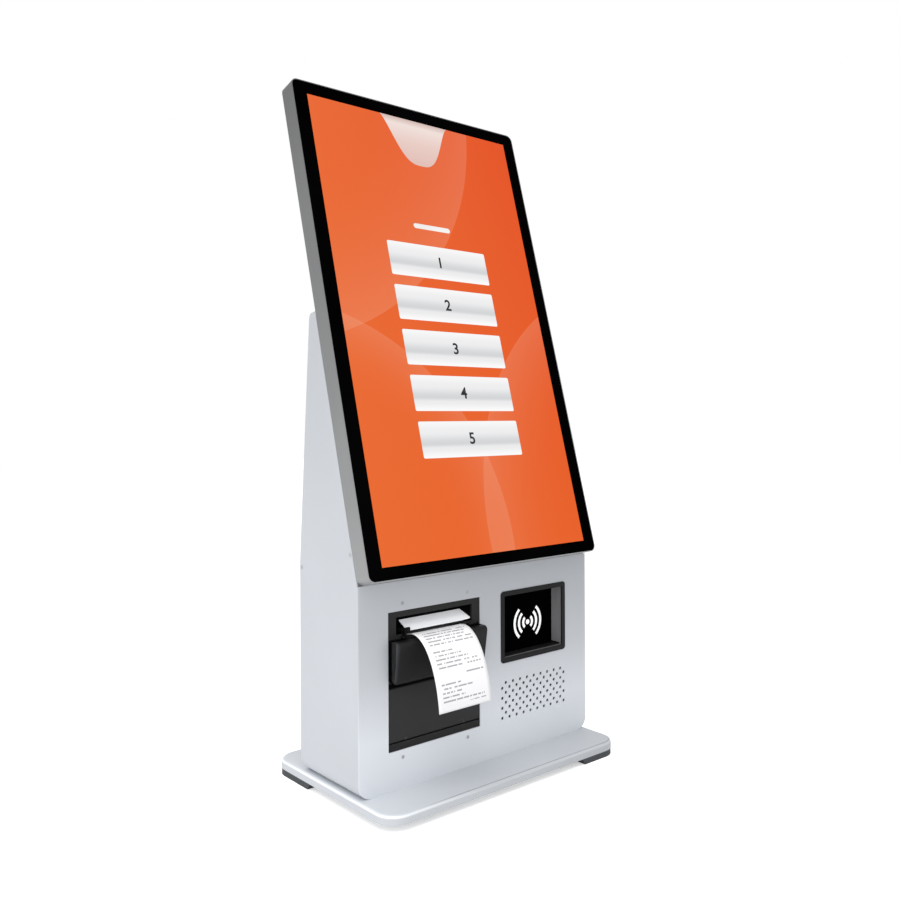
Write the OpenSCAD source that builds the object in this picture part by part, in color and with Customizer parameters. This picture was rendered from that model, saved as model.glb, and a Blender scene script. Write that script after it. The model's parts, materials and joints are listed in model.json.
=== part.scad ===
// Counter-top self-service terminal: a folded sheet-steel pedestal on a base plate,
// a tilted portrait touch display, a front-loading receipt printer, a contactless
// reader pocket and a speaker grille. Millimetres, Z up, front towards -Y.
// The origin is on the counter, under the centre of the base plate.

/* [Base plate] */
// How far the base plate stands out past each side of the pedestal
base_side = 1; // [0:0.5:20]
// Depth of the base plate
base_d = 252; // [235:1:290]
// Thickness of the base plate
base_t = 11; // [9:0.5:16]
// Plan radius of the base plate's corners
base_corner_r = 26; // [20:1:45]
// Rounding of the base plate's top edge
base_edge_r = 4.5; // [1:0.5:6]
// Height of the rubber feet
foot_h = 8; // [5:0.5:12]
// Length of a foot along the base's front or rear edge
foot_front = 72; // [50:1:90]
// Length of a foot along the base's side
foot_side = 87; // [60:1:95]
// Width of a foot's strip
foot_wide = 13; // [10:0.5:16]
// How far the front left and rear right feet are set back under the plate
foot_back = 16; // [2:1:20]
// How far the base plate reaches in front of the pedestal
front_overhang = 59; // [45:0.5:65]
// Diameter of the four counter fixing holes
fixing_d = 6.6; // [4:0.1:9]
// Distance of the counter fixing holes from the pedestal's sides
fixing_in = 29; // [26:1:40]
// Depth between the counter fixing holes
fixing_pitch = 84; // [70:1:90]

/* [Pedestal] */
// Depth of the pedestal at its foot
ped_d = 127.5; // [122:0.5:150]
// Thickness of the sheet steel
sheet = 1.5; // [1:0.1:2]
// Radius of the pedestal's two lower edges
ped_low_r = 16.4; // [8:0.2:20]
// Radius of the pedestal's two top edges
ped_top_r = 10; // [4:0.5:16]
// Height above the base at which the back starts to lean forward
kink_z = 256; // [245:1:280]
// Height above the base of the pedestal's top rear corner
ped_rear_z = 560; // [530:1:590]
// Depth of the pedestal at its top rear corner
ped_rear_y = 103; // [99:0.5:115]

/* [Display] */
// Width of the picture
active_w = 336.2; // [320:0.1:345]
// Height of the picture
active_h = 597.7; // [570:0.1:630]
// Black border beside the picture
bezel_side = 19.4; // [12:0.1:22]
// Black border above the picture
bezel_top = 17.2; // [14:0.1:25]
// Black border below the picture
bezel_bottom = 14.7; // [13:0.1:20]
// Lean of the display from upright
tilt = 15.3; // [12:0.1:17]
// Depth of the display housing
disp_t = 24.2; // [22:0.1:27]
// Thickness of the cover glass
glass_t = 3; // [2:0.1:4]
// Corner radius of the cover glass
glass_r = 8; // [3:0.5:12]
// Height of the picture's lower edge above the base plate
active_z = 264; // [260:1:280]
// How far the glass stands in front of the pedestal at that edge
glass_proud = 16.6; // [14:0.1:19]
// Hole pitch of the display mount
vesa = 100; // [75:25:100]

/* [Receipt printer] */
// Centre of the printer across the pedestal
printer_x = -77.5; // [-90:0.5:-76]
// Width of the printer's face
printer_w = 141; // [138:1:146]
// Height of the printer's face
printer_h = 162; // [159:1:166]
// Height of the printer's lower edge above the base plate
printer_z = 45.5; // [42:0.5:50]
// Height of the strip below the printer's door
strip_h = 8.5; // [7:0.5:9]
// Height of the fixed mouth frame above the printer's door
mouth_h = 33; // [31:0.5:34]
// Thickness of the printer's door
door_t = 2.8; // [2.4:0.1:3.2]
// How far the door's hood stands out at its top
hood_out = 16; // [13:0.5:22]
// How far the door's hood stands out at its bottom
hood_low_out = 9.5; // [7:0.5:12]
// Height of the door's hood
hood_h = 50.5; // [44:0.5:56]
// Width of the receipt paper
paper_w = 79.5; // [57:0.5:80]
// Diameter of the paper roll
roll_d = 76; // [50:1:78]
// Diameter of the platen roller
platen_d = 16; // [14:0.5:16.5]
// Module of the feed gears
gear_mod = 0.8; // [0.7:0.05:0.85]

/* [Reader and speaker] */
// Centre of the reader across the pedestal
reader_x = 88.2; // [82:0.5:95]
// Width of the reader's frame
reader_w = 119; // [105:1:128]
// Height of the reader's frame
reader_h = 92; // [80:1:98]
// Height of the reader's lower edge above the base plate
reader_z = 117; // [114:1:125]
// Depth of the reader's pocket
pocket_d = 18.5; // [12:0.5:24]
// Height of the lowest row of speaker holes above the base plate
grille_z = 46.8; // [44:0.2:50]
// Diameter of the speaker holes
grille_hole_d = 4.2; // [2:0.1:4.8]
// Pitch of the speaker holes along a row
grille_pitch = 12.65; // [11.5:0.05:13]
// Pitch of the rows of speaker holes
grille_row = 6.4; // [5.5:0.1:6.6]

/* [Rear service side] */
// Distance of the rear door from the pedestal's sides
door_jamb = 24; // [20:1:40]
// Height of the rear door's lower edge above the base plate
rear_door_z = 62; // [58:1:70]
// Diameter of the rear door's lock
lock_d = 18; // [14:0.5:20]
// Size of the cooling fan
fan_size = 60; // [50:1:70]
// Depth of the cooling fan
fan_t = 15; // [10:0.5:20]

/* [Hidden] */
$fn = 48;

// One overrun for every cut, and the named clearances
over = 1;
run_gap = 0.05;
seat_gap = 0.2;
part_gap = 0.4;

paint = [0.82, 0.84, 0.86];
alloy = [0.62, 0.63, 0.65];
dark = [0.2, 0.2, 0.21];
black = [0.06, 0.06, 0.07];
rubber = [0.27, 0.29, 0.3];
steel = [0.7, 0.7, 0.72];
board_green = [0.1, 0.35, 0.2];
nylon = [0.9, 0.9, 0.86];
orange = [0.91, 0.38, 0.18];

base_top = foot_h + base_t;
face_y = -base_d / 2 + front_overhang;
foot_in = 0.5;
foot_slant = 5;

// Display, in the face frame: y behind the pedestal's front, z above the base plate
frame_lip = 1.2;
frame_wall = 2;
glass_ledge = 6;
frame_low = bezel_bottom + frame_lip;
glass_w = active_w + 2 * bezel_side;
glass_h = active_h + bezel_top + bezel_bottom;
frame_w = glass_w + 2 * frame_lip;
frame_h = glass_h + 2 * frame_lip;
lcd_rim = 6;
lcd_t = 10;
down_slope = [sin(tilt), cos(tilt)];
into_slope = [cos(tilt), -sin(tilt)];
picture_foot = [-glass_proud, active_z];
seat_corner = picture_foot - (frame_low + seat_gap) * down_slope + (disp_t + seat_gap) * into_slope;
panel_top = seat_corner[1] + seat_corner[0] * tan(tilt);
function seat_y(z) = seat_corner[0] + (z - seat_corner[1]) * tan(tilt);

// The widths below the display follow it
ped_side = 0.3;
ped_w = frame_w + 2 * ped_side;
wall_in = ped_w / 2 - sheet;
base_w = ped_w + 2 * base_side;
fixing_w = ped_w - 2 * fixing_in;
rear_door_w = ped_w - 2 * door_jamb;

// Pedestal side profile and the hollow inside it
top_rise = 4;
ped_h = ped_rear_z + top_rise;
back_lean = atan((ped_d - ped_rear_y) / (ped_rear_z - kink_z));
lean_sheet = sheet / cos(back_lean);
side_profile = [[0, 0], [0, panel_top], seat_corner, [seat_y(ped_h), ped_h],
    [ped_rear_y, ped_rear_z], [ped_d, kink_z], [ped_d, 0]];
cavity_profile = [[-over, sheet], [-over, ped_h - sheet], [seat_y(ped_h), ped_h - sheet],
    [ped_rear_y - lean_sheet + sheet * tan(back_lean), ped_rear_z - sheet], [ped_d - lean_sheet, kink_z],
    [ped_d - sheet, kink_z - sheet], [ped_d - sheet, sheet]];

// Display mount, in the display's own frame
mount_low = 14;
mount_high = 268;
mount_flange = 22;
mount_t = 2;
mount_centre = 150;
mount_hole_d = 40;
vesa_screw_d = 4;

// Printer, in the face frame
sink = 1.2;
printer_top = printer_z + printer_h;
hinge_y = sink + door_t;
hinge_z = printer_z + strip_h + part_gap + door_t;
back_y = hinge_y + part_gap;
door_half = printer_w / 2 - part_gap;
shelf_z = printer_top - mouth_h;
hood_foot = shelf_z - hood_h;
hood_wall = 2.2;
hood_draft = 1.2;
hood_r = 5;
hood_low_r = 9;
slot_h = 5.5;
tear_z = shelf_z + slot_h;
platen_back = 9;
platen_y = hinge_y + platen_back;
platen_drop = 0.5;
platen_z = shelf_z - platen_d / 2 - platen_drop;
paper_t = 0.2;
paper_air = 0.15;
nip_y = platen_y + platen_d / 2 + paper_air;
shaft_d = 5;
rod_d = 3;
ear_t = 1.9;
cheek_t = 2.2;
ear_in = 41.1;
cheek_in = ear_in + ear_t + 2 * part_gap - seat_gap;
cheek_out = cheek_in + cheek_t;
gear_in = cheek_out + 2 * part_gap;
gear_t = 5;
lever_in = cheek_out + part_gap;
lever_t = 2.5;
shaft_left = lever_in + lever_t + part_gap;
screw_half = 50;
screw_rise = 9;
body_rim = 18;
body_side = 5.5;
body_plate = 2;
chute_d = 16.5;
chute_side = 8;
chute_top = 5;
frame_sill = 3;
mouth_side = 12;
mouth_taper = 5;
mouth_brow = 7;
slot_side = 4;
cheek_rise = 1;

platen_teeth = 20;
feed_teeth = 28;
pinion_teeth = 12;
feed_y = platen_y + gear_mod * (platen_teeth + feed_teeth) / 2;
feed_z = platen_z;
gap_steps_share = 1.5;
motor_angle = -gap_steps_share * 360 / feed_teeth;
pinion_reach = gear_mod * (feed_teeth + pinion_teeth) / 2;
motor_y = feed_y + pinion_reach * cos(motor_angle);
motor_z = feed_z + pinion_reach * sin(motor_angle);
motor_d = 24;
motor_len = 30;
post_d = 4;
motor_boss_d = 8;
motor_shaft_d = 3;
pinion_hub_d = 5;
head_t = 5;
head_h = 15;
head_y = nip_y + paper_t + paper_air;
spring_len = 5;
spring_x = 25;
bar_y = head_y + head_t + spring_len;
bar_t = 2;

roll_air = 8;
roll_y = hinge_y + roll_air + roll_d / 2;
bin_floor_z = hinge_z + door_t + 2 * sink;
roll_z = bin_floor_z + 2 * sink + roll_d / 2;
spindle_d = 12.4;
bin_d = roll_y + roll_d / 2 + 2 * sink;
bin_wall = 2;
bin_back_h = 88;

lever_back = 11;
lever_drop = 8;
lever_y = platen_y + lever_back;
lever_z = platen_z - lever_drop;
lever_pin_d = 4;
lever_arm_h = 4;
lever_rest = 1.4;
lever_nose_h = 3;
lever_nose_gap = 1.2;
tab_out = 2.4;
tab_t = 3.2;
tab_low = 1;
tab_h = 6;
tab_in = 40.4;

// The receipt hangs in one even curve out of the mouth; its ends and handles
end_in = 4.1;
end_drop = 77.5;
start_out = 7;
start_rise = 2;
over_out = 24;
over_rise = 15.5;
fall_out = 50;
fall_drop = 24.5;
receipt_end = [end_in - front_overhang, shelf_z - end_drop];
receipt_start = [platen_y - start_out, shelf_z + start_rise];
receipt_over = [-over_out, shelf_z + over_rise];
receipt_fall = [-fall_out, shelf_z - fall_drop];
receipt_steps = 22;
wrap_steps = 6;
wrap_from = 25;
wrap_r = platen_d / 2 + paper_air;

// Reader and speaker
reader_rim = 6.3;
reader_r = 4.5;
reader_lip = 0.8;
reader_draft = 0.6;
window_t = 3;
grille_rows = 8;
grille_cols = 10;
grille_x = reader_x - grille_pitch * (grille_cols - 1) / 2;
speaker_w = 106;
speaker_h = 50;
speaker_t = 3;
cone_d = 16;
magnet_d = 38;
magnet_t = 12;

// Rear service side
door_top_gap = 4;
rear_door_h = kink_z - rear_door_z - door_top_gap;
door_lap = 8;
knuckle_r = 3;
hinge_pin_d = 3;
hinge_len = 42;
hinge_inset = 22;
leaf_w = 14;
leaf_t = 1.2;
rear_hinge_x = rear_door_w / 2 + knuckle_r;
rear_hinge_y = ped_d + part_gap + sheet + knuckle_r / 2;
lock_in = 22;
lock_x = rear_door_w / 2 - lock_in;
lock_z = rear_door_z + rear_door_h / 2;
lock_len = 20;
lock_head_t = 2;
cam_t = 2;
io_x = -96;
io_h = 40;
io_z = 10;
io_lap = 4;
io_mid = io_z + io_h / 2;
inlet_w = 27.4;
inlet_h = 20;
inlet_d = 22;
inlet_flange_w = 50;
inlet_flange_h = 24;
inlet_flange_t = 2.4;
rocker_w = 13;
rocker_h = 20;
port_w = 16;
port_h = 14;
port_d = 21;
port_step_share = 1.3;
io_side = 7.7;
io_w = 2 * io_lap + inlet_flange_w + rocker_w * 3 / 2 + port_w * (3 / 2 + port_step_share) + io_side;
fan_up = 170;
fan_hole_pitch_share = 0.833;
hub_share = 0.42;
fan_rim = 1.5;
fan_bore = fan_size - 2 * fan_rim;
blades = 7;

psu_h = 36;
psu_x = printer_x;
psu_bolt = 7.5;
psu_w = 2 * (psu_x + fixing_w / 2 - psu_bolt);
psu_back = 14;
psu_clear = 12;
psu_d = ped_d - sheet - inlet_d - psu_clear - psu_back;
board_w = 100;
board_h = 170;
board_t = 1.6;
board_z = 50;
board_back = 14;
standoff_h = 6;
standoff_d = 6;

module on_base() {
    translate([0, face_y, base_top]) children();
}

module on_display() {
    translate([0, face_y - glass_proud, base_top + active_z]) rotate([-tilt, 0, 0]) children();
}

module on_back() {
    translate([0, face_y + ped_d, base_top + kink_z]) rotate([back_lean, 0, 0]) children();
}

// A profile drawn as [y, z], drawn out along X about its middle
module across(length) {
    rotate([90, 0, 90]) translate([0, 0, -length / 2]) linear_extrude(length) children();
}

// A profile drawn as [x, z], drawn out along Y from y0 towards the rear
module rearward(y0, depth) {
    translate([0, y0 + depth, 0]) rotate([90, 0, 0]) linear_extrude(depth) children();
}

module bore_y(x, z, d, y0, depth) {
    translate([x, y0, z]) rotate([-90, 0, 0]) cylinder(d = d, h = depth);
}

module bore_x(y, z, d, x0, length) {
    translate([x0, y, z]) rotate([0, 90, 0]) cylinder(d = d, h = length);
}

// A hole's diameter for a pin of that diameter, with the running gap all round
function loose(d) = d + 2 * run_gap;

// A box between two corners
module span(low, high) {
    translate(low) cube(high - low);
}

// A rectangle standing on its lower edge, with round lower and upper corners
module arch(w, h, r_low, r_top) {
    translate([-w / 2, r_low]) square([w, h - r_low - r_top]);
    translate([r_low - w / 2, 0]) square([w - 2 * r_low, r_low]);
    translate([r_top - w / 2, h - r_top]) square([w - 2 * r_top, r_top]);
    for (side = [-1, 1]) {
        translate([side * (w / 2 - r_low), r_low]) circle(r_low);
        translate([side * (w / 2 - r_top), h - r_top]) circle(r_top);
    }
}

module round_rect(w, h, r) {
    translate([0, -h / 2]) arch(w, h, r, r);
}

function arc(centre, r, from, to, steps) =
    [for (i = [0 : steps]) let (a = from + (to - from) * i / steps)
        centre + r * [cos(a), sin(a)]];

module ped_outline(inset) {
    translate([0, inset])
        arch(ped_w - 2 * inset, ped_h - 2 * inset, ped_low_r - inset, ped_top_r - inset);
}

module base_outline(inset) {
    round_rect(base_w - 2 * inset, base_d - 2 * inset, max(base_corner_r - inset, base_edge_r));
}

// Base plate

module base_edge() {
    square([base_corner_r - base_edge_r, base_t]);
    square([base_corner_r, base_t - base_edge_r]);
    translate([base_corner_r - base_edge_r, base_t - base_edge_r]) intersection() {
        circle(base_edge_r);
        square(base_edge_r);
    }
}

module rounded_slab() {
    flat_w = base_w - 2 * base_corner_r;
    flat_d = base_d - 2 * base_corner_r;
    translate([-flat_w / 2, -flat_d / 2, 0]) cube([flat_w, flat_d, base_t]);
    for (turn = [0, 1]) rotate([0, 0, 180 * turn]) {
        translate([flat_w / 2, flat_d / 2, 0]) rotate([90, 0, 0])
            linear_extrude(flat_d) base_edge();
        translate([-flat_w / 2, flat_d / 2, 0]) rotate([90, 0, 90])
            linear_extrude(flat_w) base_edge();
        translate([flat_w / 2, flat_d / 2, 0])
            rotate_extrude(angle = 90) base_edge();
        translate([-flat_w / 2, flat_d / 2, 0]) rotate([0, 0, 90])
            rotate_extrude(angle = 90) base_edge();
    }
}

module at_fixings() {
    for (sx = [-1, 1], sy = [-1, 1])
        translate([sx * fixing_w / 2, face_y + ped_d / 2 + sy * fixing_pitch / 2, 0]) children();
}

bolt_pitch = 36;
bolt_d = 6;
bolt_foot = 2;
module at_bolts() {
    for (sx = [-1, 1], sy = [-1, 1])
        translate([sx * fixing_w / 2, face_y + ped_d / 2 + sy * bolt_pitch / 2, 0]) children();
}

module base_plate() color(paint) translate([0, 0, foot_h]) difference() {
    rounded_slab();
    at_fixings() translate([0, 0, -over]) cylinder(d = fixing_d, h = base_t + 2 * over);
    at_bolts() translate([0, 0, -over]) cylinder(d = loose(bolt_d), h = base_t + 2 * over);
}

// Slanted inner end: a strip is shorter where it meets the counter
module foot_bevel(wide, reach) {
    polygon([[wide / 2 + over, 0], [wide / 2 - reach + foot_slant, 0],
        [wide / 2 - reach, foot_h], [wide / 2 + over, foot_h]]);
}

module foot(inset) intersection() {
    linear_extrude(foot_h) difference() {
        base_outline(inset);
        base_outline(inset + foot_wide);
    }
    translate([0, base_d, 0]) rotate([90, 0, 0]) linear_extrude(base_d)
        foot_bevel(base_w, foot_front - inset);
    rotate([90, 0, 90]) linear_extrude(base_w) foot_bevel(base_d, foot_side - inset);
}

// The strips are flush with the plate at two corners and set back under it at the others
module rubber_feet() color(rubber) for (turn = [0, 180]) rotate([0, 0, turn]) {
    mirror([1, 0, 0]) foot(foot_in);
    foot(foot_back);
}

bolt_head_d = 10;
bolt_head_h = 4;
module base_bolts() color(steel) at_bolts() {
    translate([0, 0, foot_h + bolt_foot]) cylinder(d = bolt_d, h = base_t + sheet - bolt_foot);
    translate([0, 0, base_top + sheet]) difference() {
        cylinder(d = bolt_head_d, h = bolt_head_h);
        translate([0, 0, bolt_head_h / 2]) cylinder(d = bolt_d - over, h = bolt_head_h, $fn = 6);
    }
}

// Pedestal

module fan_grille() {
    ring_pitch = fan_bore / 8;
    for (ring = [0 : 3]) let (count = max(1, ring * 6))
        for (i = [0 : count - 1]) rotate([0, 360 * i / count, 0])
            translate([ring * ring_pitch, 0, 0]) children();
}

access_d = 16;
module rear_opening() {
    arch(rear_door_w - 2 * door_lap, rear_door_h - 2 * door_lap, door_lap, door_lap);
}

module pedestal_shell() color(paint) on_base() difference() {
    intersection() {
        across(ped_w + 2 * over) polygon(side_profile);
        rearward(-over, ped_d + 2 * over) ped_outline(0);
    }
    intersection() {
        across(ped_w) polygon(cavity_profile);
        rearward(-2 * over, ped_d + 4 * over) ped_outline(sheet);
    }
    span([-ped_w, -over, -over], [ped_w, sheet, panel_top]);
    translate([0, 0, rear_door_z + door_lap]) rearward(ped_d - 4 * over, 6 * over) rear_opening();
    translate([io_x, 0, io_z]) rearward(ped_d - 4 * over, 6 * over)
        arch(io_w - 2 * io_lap, io_h, io_lap, io_lap);
    translate([0, -face_y, -base_top]) {
        at_fixings() translate([0, 0, base_top - over]) cylinder(d = access_d, h = 4 * over);
        at_bolts() translate([0, 0, base_top - over]) cylinder(d = loose(bolt_d), h = 4 * over);
    }
    translate([0, -face_y, -base_top]) on_back() translate([0, 0, fan_up]) {
        fan_grille() bore_y(0, 0, fan_bore / 12, -4 * over, 6 * over);
        fan_corners() bore_y(0, 0, loose(fan_screw_d), -4 * over, 6 * over);
    }
    side_screw_places() bore_x(0, 0, loose(side_screw_d), -ped_w, 2 * ped_w);
}

side_screw_d = 3;
side_screw_head_d = 5;
side_screw_head_h = 0.2;
nut_h = 2.4;
side_screw_back = 4.2;
bush_d = 4;
side_screw_up = 21;
side_screw_down = 6;
module side_screw_places() {
    translate([0, picture_foot[0], picture_foot[1]]) rotate([-tilt, 0, 0])
        translate([0, disp_t + side_screw_back, side_screw_up]) children();
    translate([0, ped_d - side_screw_back, kink_z - side_screw_down]) children();
}

module side_screws() color(steel) on_base() side_screw_places() for (side = [0, 1])
    mirror([side, 0, 0]) {
        bore_x(0, 0, side_screw_d, wall_in - mount_t - nut_h, sheet + mount_t + nut_h);
        bore_x(0, 0, side_screw_head_d, ped_w / 2, side_screw_head_h);
        bore_x(0, 0, bush_d, wall_in - mount_t - nut_h, nut_h);
    }

// Front panel

module grille_places() {
    for (row = [0 : grille_rows - 1]) let (short = row % 2)
        for (col = [0 : grille_cols - 1 - short])
            translate([grille_x + (col + short / 2) * grille_pitch, 0, grille_z + row * grille_row])
                children();
}

module printer_screw_places() {
    for (side = [-1, 1], up = [0, 1])
        translate([printer_x + side * screw_half, 0,
            up ? printer_top + screw_rise : printer_z - screw_rise]) children();
}

printer_screw_d = 3;
countersink_d = 4.4;
countersink_h = 0.9;
module screw_cone(gap) {
    rotate([-90, 0, 0])
        cylinder(d1 = countersink_d + gap, d2 = printer_screw_d + gap, h = countersink_h);
}

panel_flange = 12;
module front_panel() color(paint) on_base() difference() {
    union() {
        intersection() {
            rearward(0, sheet) ped_outline(0);
            across(ped_w + 2 * over) polygon(side_profile);
        }
        span([-wall_in + seat_gap, sheet, panel_top - 4 * sheet],
            [wall_in - seat_gap, sheet + panel_flange, panel_top - 3 * sheet]);
    }
    span([printer_x - printer_w / 2 - seat_gap, -over, printer_z - seat_gap],
        [printer_x + printer_w / 2 + seat_gap, sheet + over, printer_top + seat_gap]);
    translate([reader_x, 0, reader_z + reader_rim / 2]) rearward(-over, sheet + 2 * over)
        arch(reader_w - reader_rim, reader_h - reader_rim, reader_r / 2, reader_r / 2);
    grille_places() bore_y(0, 0, grille_hole_d, -over, sheet + 2 * over);
    printer_screw_places() {
        bore_y(0, 0, loose(printer_screw_d), -over, sheet + 2 * over);
        screw_cone(2 * run_gap);
    }
}

// Display

module display_frame() color(alloy) on_display() difference() {
    translate([0, 0, -frame_low]) rearward(0, disp_t)
        arch(frame_w, frame_h, glass_r + frame_lip, glass_r + frame_lip);
    translate([0, 0, -bezel_bottom]) rearward(-over, glass_t + over)
        arch(glass_w, glass_h, glass_r, glass_r);
    translate([0, 0, glass_ledge - bezel_bottom]) rearward(0, disp_t)
        arch(glass_w - 2 * glass_ledge, glass_h - 2 * glass_ledge, glass_r / 2, glass_r / 2);
    translate([0, 0, frame_wall - frame_low]) rearward(glass_t + frame_wall, disp_t)
        arch(frame_w - 2 * frame_wall, frame_h - 2 * frame_wall, glass_r, glass_r);
}

module display_glass() color(black) on_display() translate([0, 0, -bezel_bottom])
    rearward(0, glass_t) arch(glass_w, glass_h, glass_r, glass_r);

module lcd_panel() color(orange) on_display() translate([0, 0, -lcd_rim])
    rearward(glass_t, lcd_t) arch(active_w + 2 * lcd_rim, active_h + 2 * lcd_rim, over, over);

module vesa_places() {
    for (sx = [-1, 1], sz = [-1, 1])
        translate([sx * vesa / 2, 0, mount_centre + sz * vesa / 2]) children();
}

vent_slots = 15;
vent_pitch = 9;
vent_w = 90;
vent_h = 3;
vent_up_share = 0.62;
vent_out_share = 0.75;
tray_bosses = 3;
module display_tray() color(alloy) on_display() difference() {
    union() {
        translate([0, 0, frame_wall - frame_low]) rearward(disp_t - sheet, sheet)
            arch(frame_w - 2 * frame_wall, frame_h - 2 * frame_wall, glass_r, glass_r);
        vesa_places() bore_y(0, 0, 3 * vesa_screw_d, disp_t - sheet - tray_bosses, tray_bosses);
    }
    for (side = [-1, 1], i = [0 : vent_slots - 1])
        translate([side * vent_w * vent_out_share, 0, active_h * vent_up_share + i * vent_pitch])
            rearward(0, 2 * disp_t) round_rect(vent_w, vent_h, vent_h / 2 - seat_gap);
    bore_y(0, mount_centre, mount_hole_d, 0, 2 * disp_t);
    vesa_places() bore_y(0, 0, loose(vesa_screw_d), 0, 2 * disp_t);
}

driver_w = 160;
driver_h = 70;
driver_z = 300;
module display_board() on_display() {
    board_y = disp_t - sheet - tray_bosses - board_t;
    color(board_green) span([-driver_w / 2, board_y, driver_z],
        [driver_w / 2, board_y + board_t, driver_z + driver_h]);
    for (sx = [-1, 1], up = [0, 1]) bore_y(sx * (driver_w / 2 - standoff_d),
        driver_z + standoff_d + up * (driver_h - 2 * standoff_d), standoff_d,
        board_y + board_t, tray_bosses);
    for (i = [-1 : 1])
        span([i * driver_w / 4 - standoff_d, board_y - tray_bosses, driver_z + driver_h / 3],
            [i * driver_w / 4 + standoff_d, board_y, driver_z + driver_h / 2]);
}

mount_out_share = 0.65;
mount_wide_share = 0.7;
module display_mount() color(steel) difference() {
    on_display() difference() {
        span([-wall_in, disp_t, mount_low], [wall_in, disp_t + mount_t + mount_flange, mount_high]);
        span([mount_t - wall_in, disp_t + mount_t, mount_low - over],
            [wall_in - mount_t, disp_t + 2 * mount_flange, mount_high + over]);
    }
    on_display() {
        bore_y(0, mount_centre, mount_hole_d, 0, 2 * disp_t);
        vesa_places() bore_y(0, 0, loose(vesa_screw_d), 0, 2 * disp_t);
        for (side = [-1, 1])
            translate([side * wall_in * mount_out_share, 0, mount_low + mount_flange])
                rearward(0, 2 * disp_t) arch(vesa * mount_wide_share,
                    mount_high - mount_low - 2 * mount_flange, ped_top_r, ped_top_r);
    }
    on_base() side_screw_places() bore_x(0, 0, loose(side_screw_d), -ped_w, 2 * ped_w);
}

mount_screw_head_h = 2.4;
module mount_screws() color(steel) on_display() vesa_places() {
    bore_y(0, 0, vesa_screw_d, disp_t - sheet - tray_bosses / 2, sheet + tray_bosses / 2 + mount_t);
    bore_y(0, 0, 2 * vesa_screw_d, disp_t + mount_t, mount_screw_head_h);
}

// Receipt printer

module at_printer() {
    on_base() translate([printer_x, 0, 0]) children();
}

// A plate in the side plane, from x0 towards +X
module side_plate(x0, thickness) {
    translate([x0, 0, 0]) rotate([90, 0, 90]) linear_extrude(thickness) children();
}

flange_x = printer_w / 2 + body_side;
frame_z = tear_z - frame_sill;
chute_half = printer_w / 2 - chute_side;
mouth_half = printer_w / 2 - mouth_side;
mouth_back_half = mouth_half - mouth_taper;
mouth_rear = back_y + chute_d - body_plate;
mouth_top = printer_top - mouth_brow;
lever_slot_l = lever_in + lever_t + part_gap;
paper_half = paper_w / 2 + slot_side;

module mouth_pocket() {
    hull() {
        span([-mouth_half, sink - over, tear_z], [mouth_half, sink, mouth_top]);
        span([-mouth_back_half, mouth_rear - seat_gap, tear_z],
            [mouth_back_half, mouth_rear, mouth_top - chute_top]);
    }
}

module printer_bezel() color(dark) at_printer() difference() {
    union() {
        difference() {
            span([-flange_x, sheet, printer_z - body_rim],
                [flange_x, back_y, printer_top + body_rim]);
            span([-door_half - part_gap, 0, printer_z + strip_h],
                [door_half + part_gap, 2 * back_y, frame_z]);
        }
        span([-printer_w / 2, sink, frame_z], [printer_w / 2, back_y, printer_top]);
        span([-printer_w / 2, sink, printer_z], [printer_w / 2, back_y, printer_z + strip_h]);
        span([-chute_half, sink, frame_z + part_gap],
            [chute_half, back_y + chute_d, mouth_top + 2 * body_plate]);
    }
    mouth_pocket();
    span([-paper_half, 0, frame_z - over], [paper_half, 2 * back_y + 2 * chute_d, tear_z + seat_gap]);
    span([-lever_slot_l, -over, frame_z - over],
        [part_gap - lever_in, 2 * back_y + 2 * chute_d, tear_z + lever_rest + seat_gap]);
    printer_screw_holes();
}

module printer_screw_holes() {
    translate([-printer_x, 0, 0]) printer_screw_places()
        bore_y(0, 0, loose(printer_screw_d), 0, 2 * body_rim);
}

nut_d = 6;
module printer_screws() color(steel) on_base() printer_screw_places() {
    screw_cone(0);
    bore_y(0, 0, printer_screw_d, countersink_h, back_y + body_plate + body_plate);
    translate([0, back_y + body_plate, 0]) rotate([-90, 0, 0]) difference() {
        cylinder(d = nut_d, h = body_plate, $fn = 6);
        translate([0, 0, -over]) cylinder(d = printer_screw_d - over, h = 4 * over);
    }
}

cheek_top = shelf_z + cheek_rise;
module cheek_shape() {
    difference() {
        union() {
            translate([back_y, hinge_z - door_t])
                square([bin_d - back_y, cheek_top - hinge_z + door_t]);
            translate([hinge_y, hinge_z - door_t]) square([back_y, 2 * door_t]);
            translate([hinge_y, hinge_z]) circle(door_t);
        }
        translate([hinge_y, hinge_z]) circle(d = loose(rod_d));
        translate([back_y - 2 * over, platen_z - shaft_d / 2 - part_gap - seat_gap])
            square([platen_y - back_y + 2 * over, shaft_d + 2 * part_gap + 2 * seat_gap]);
        translate([platen_y, platen_z]) circle(shaft_d / 2 + part_gap + seat_gap);
        translate([back_y - 2 * over, roll_z - spindle_d / 2 - run_gap])
            square([roll_y - back_y + 2 * over, loose(spindle_d)]);
        translate([roll_y, roll_z]) circle(d = loose(spindle_d));
        translate([motor_y, motor_z]) circle(d = loose(motor_boss_d));
        translate([bin_d, cheek_top]) rotate(45) square(roll_d, center = true);
    }
}

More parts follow.
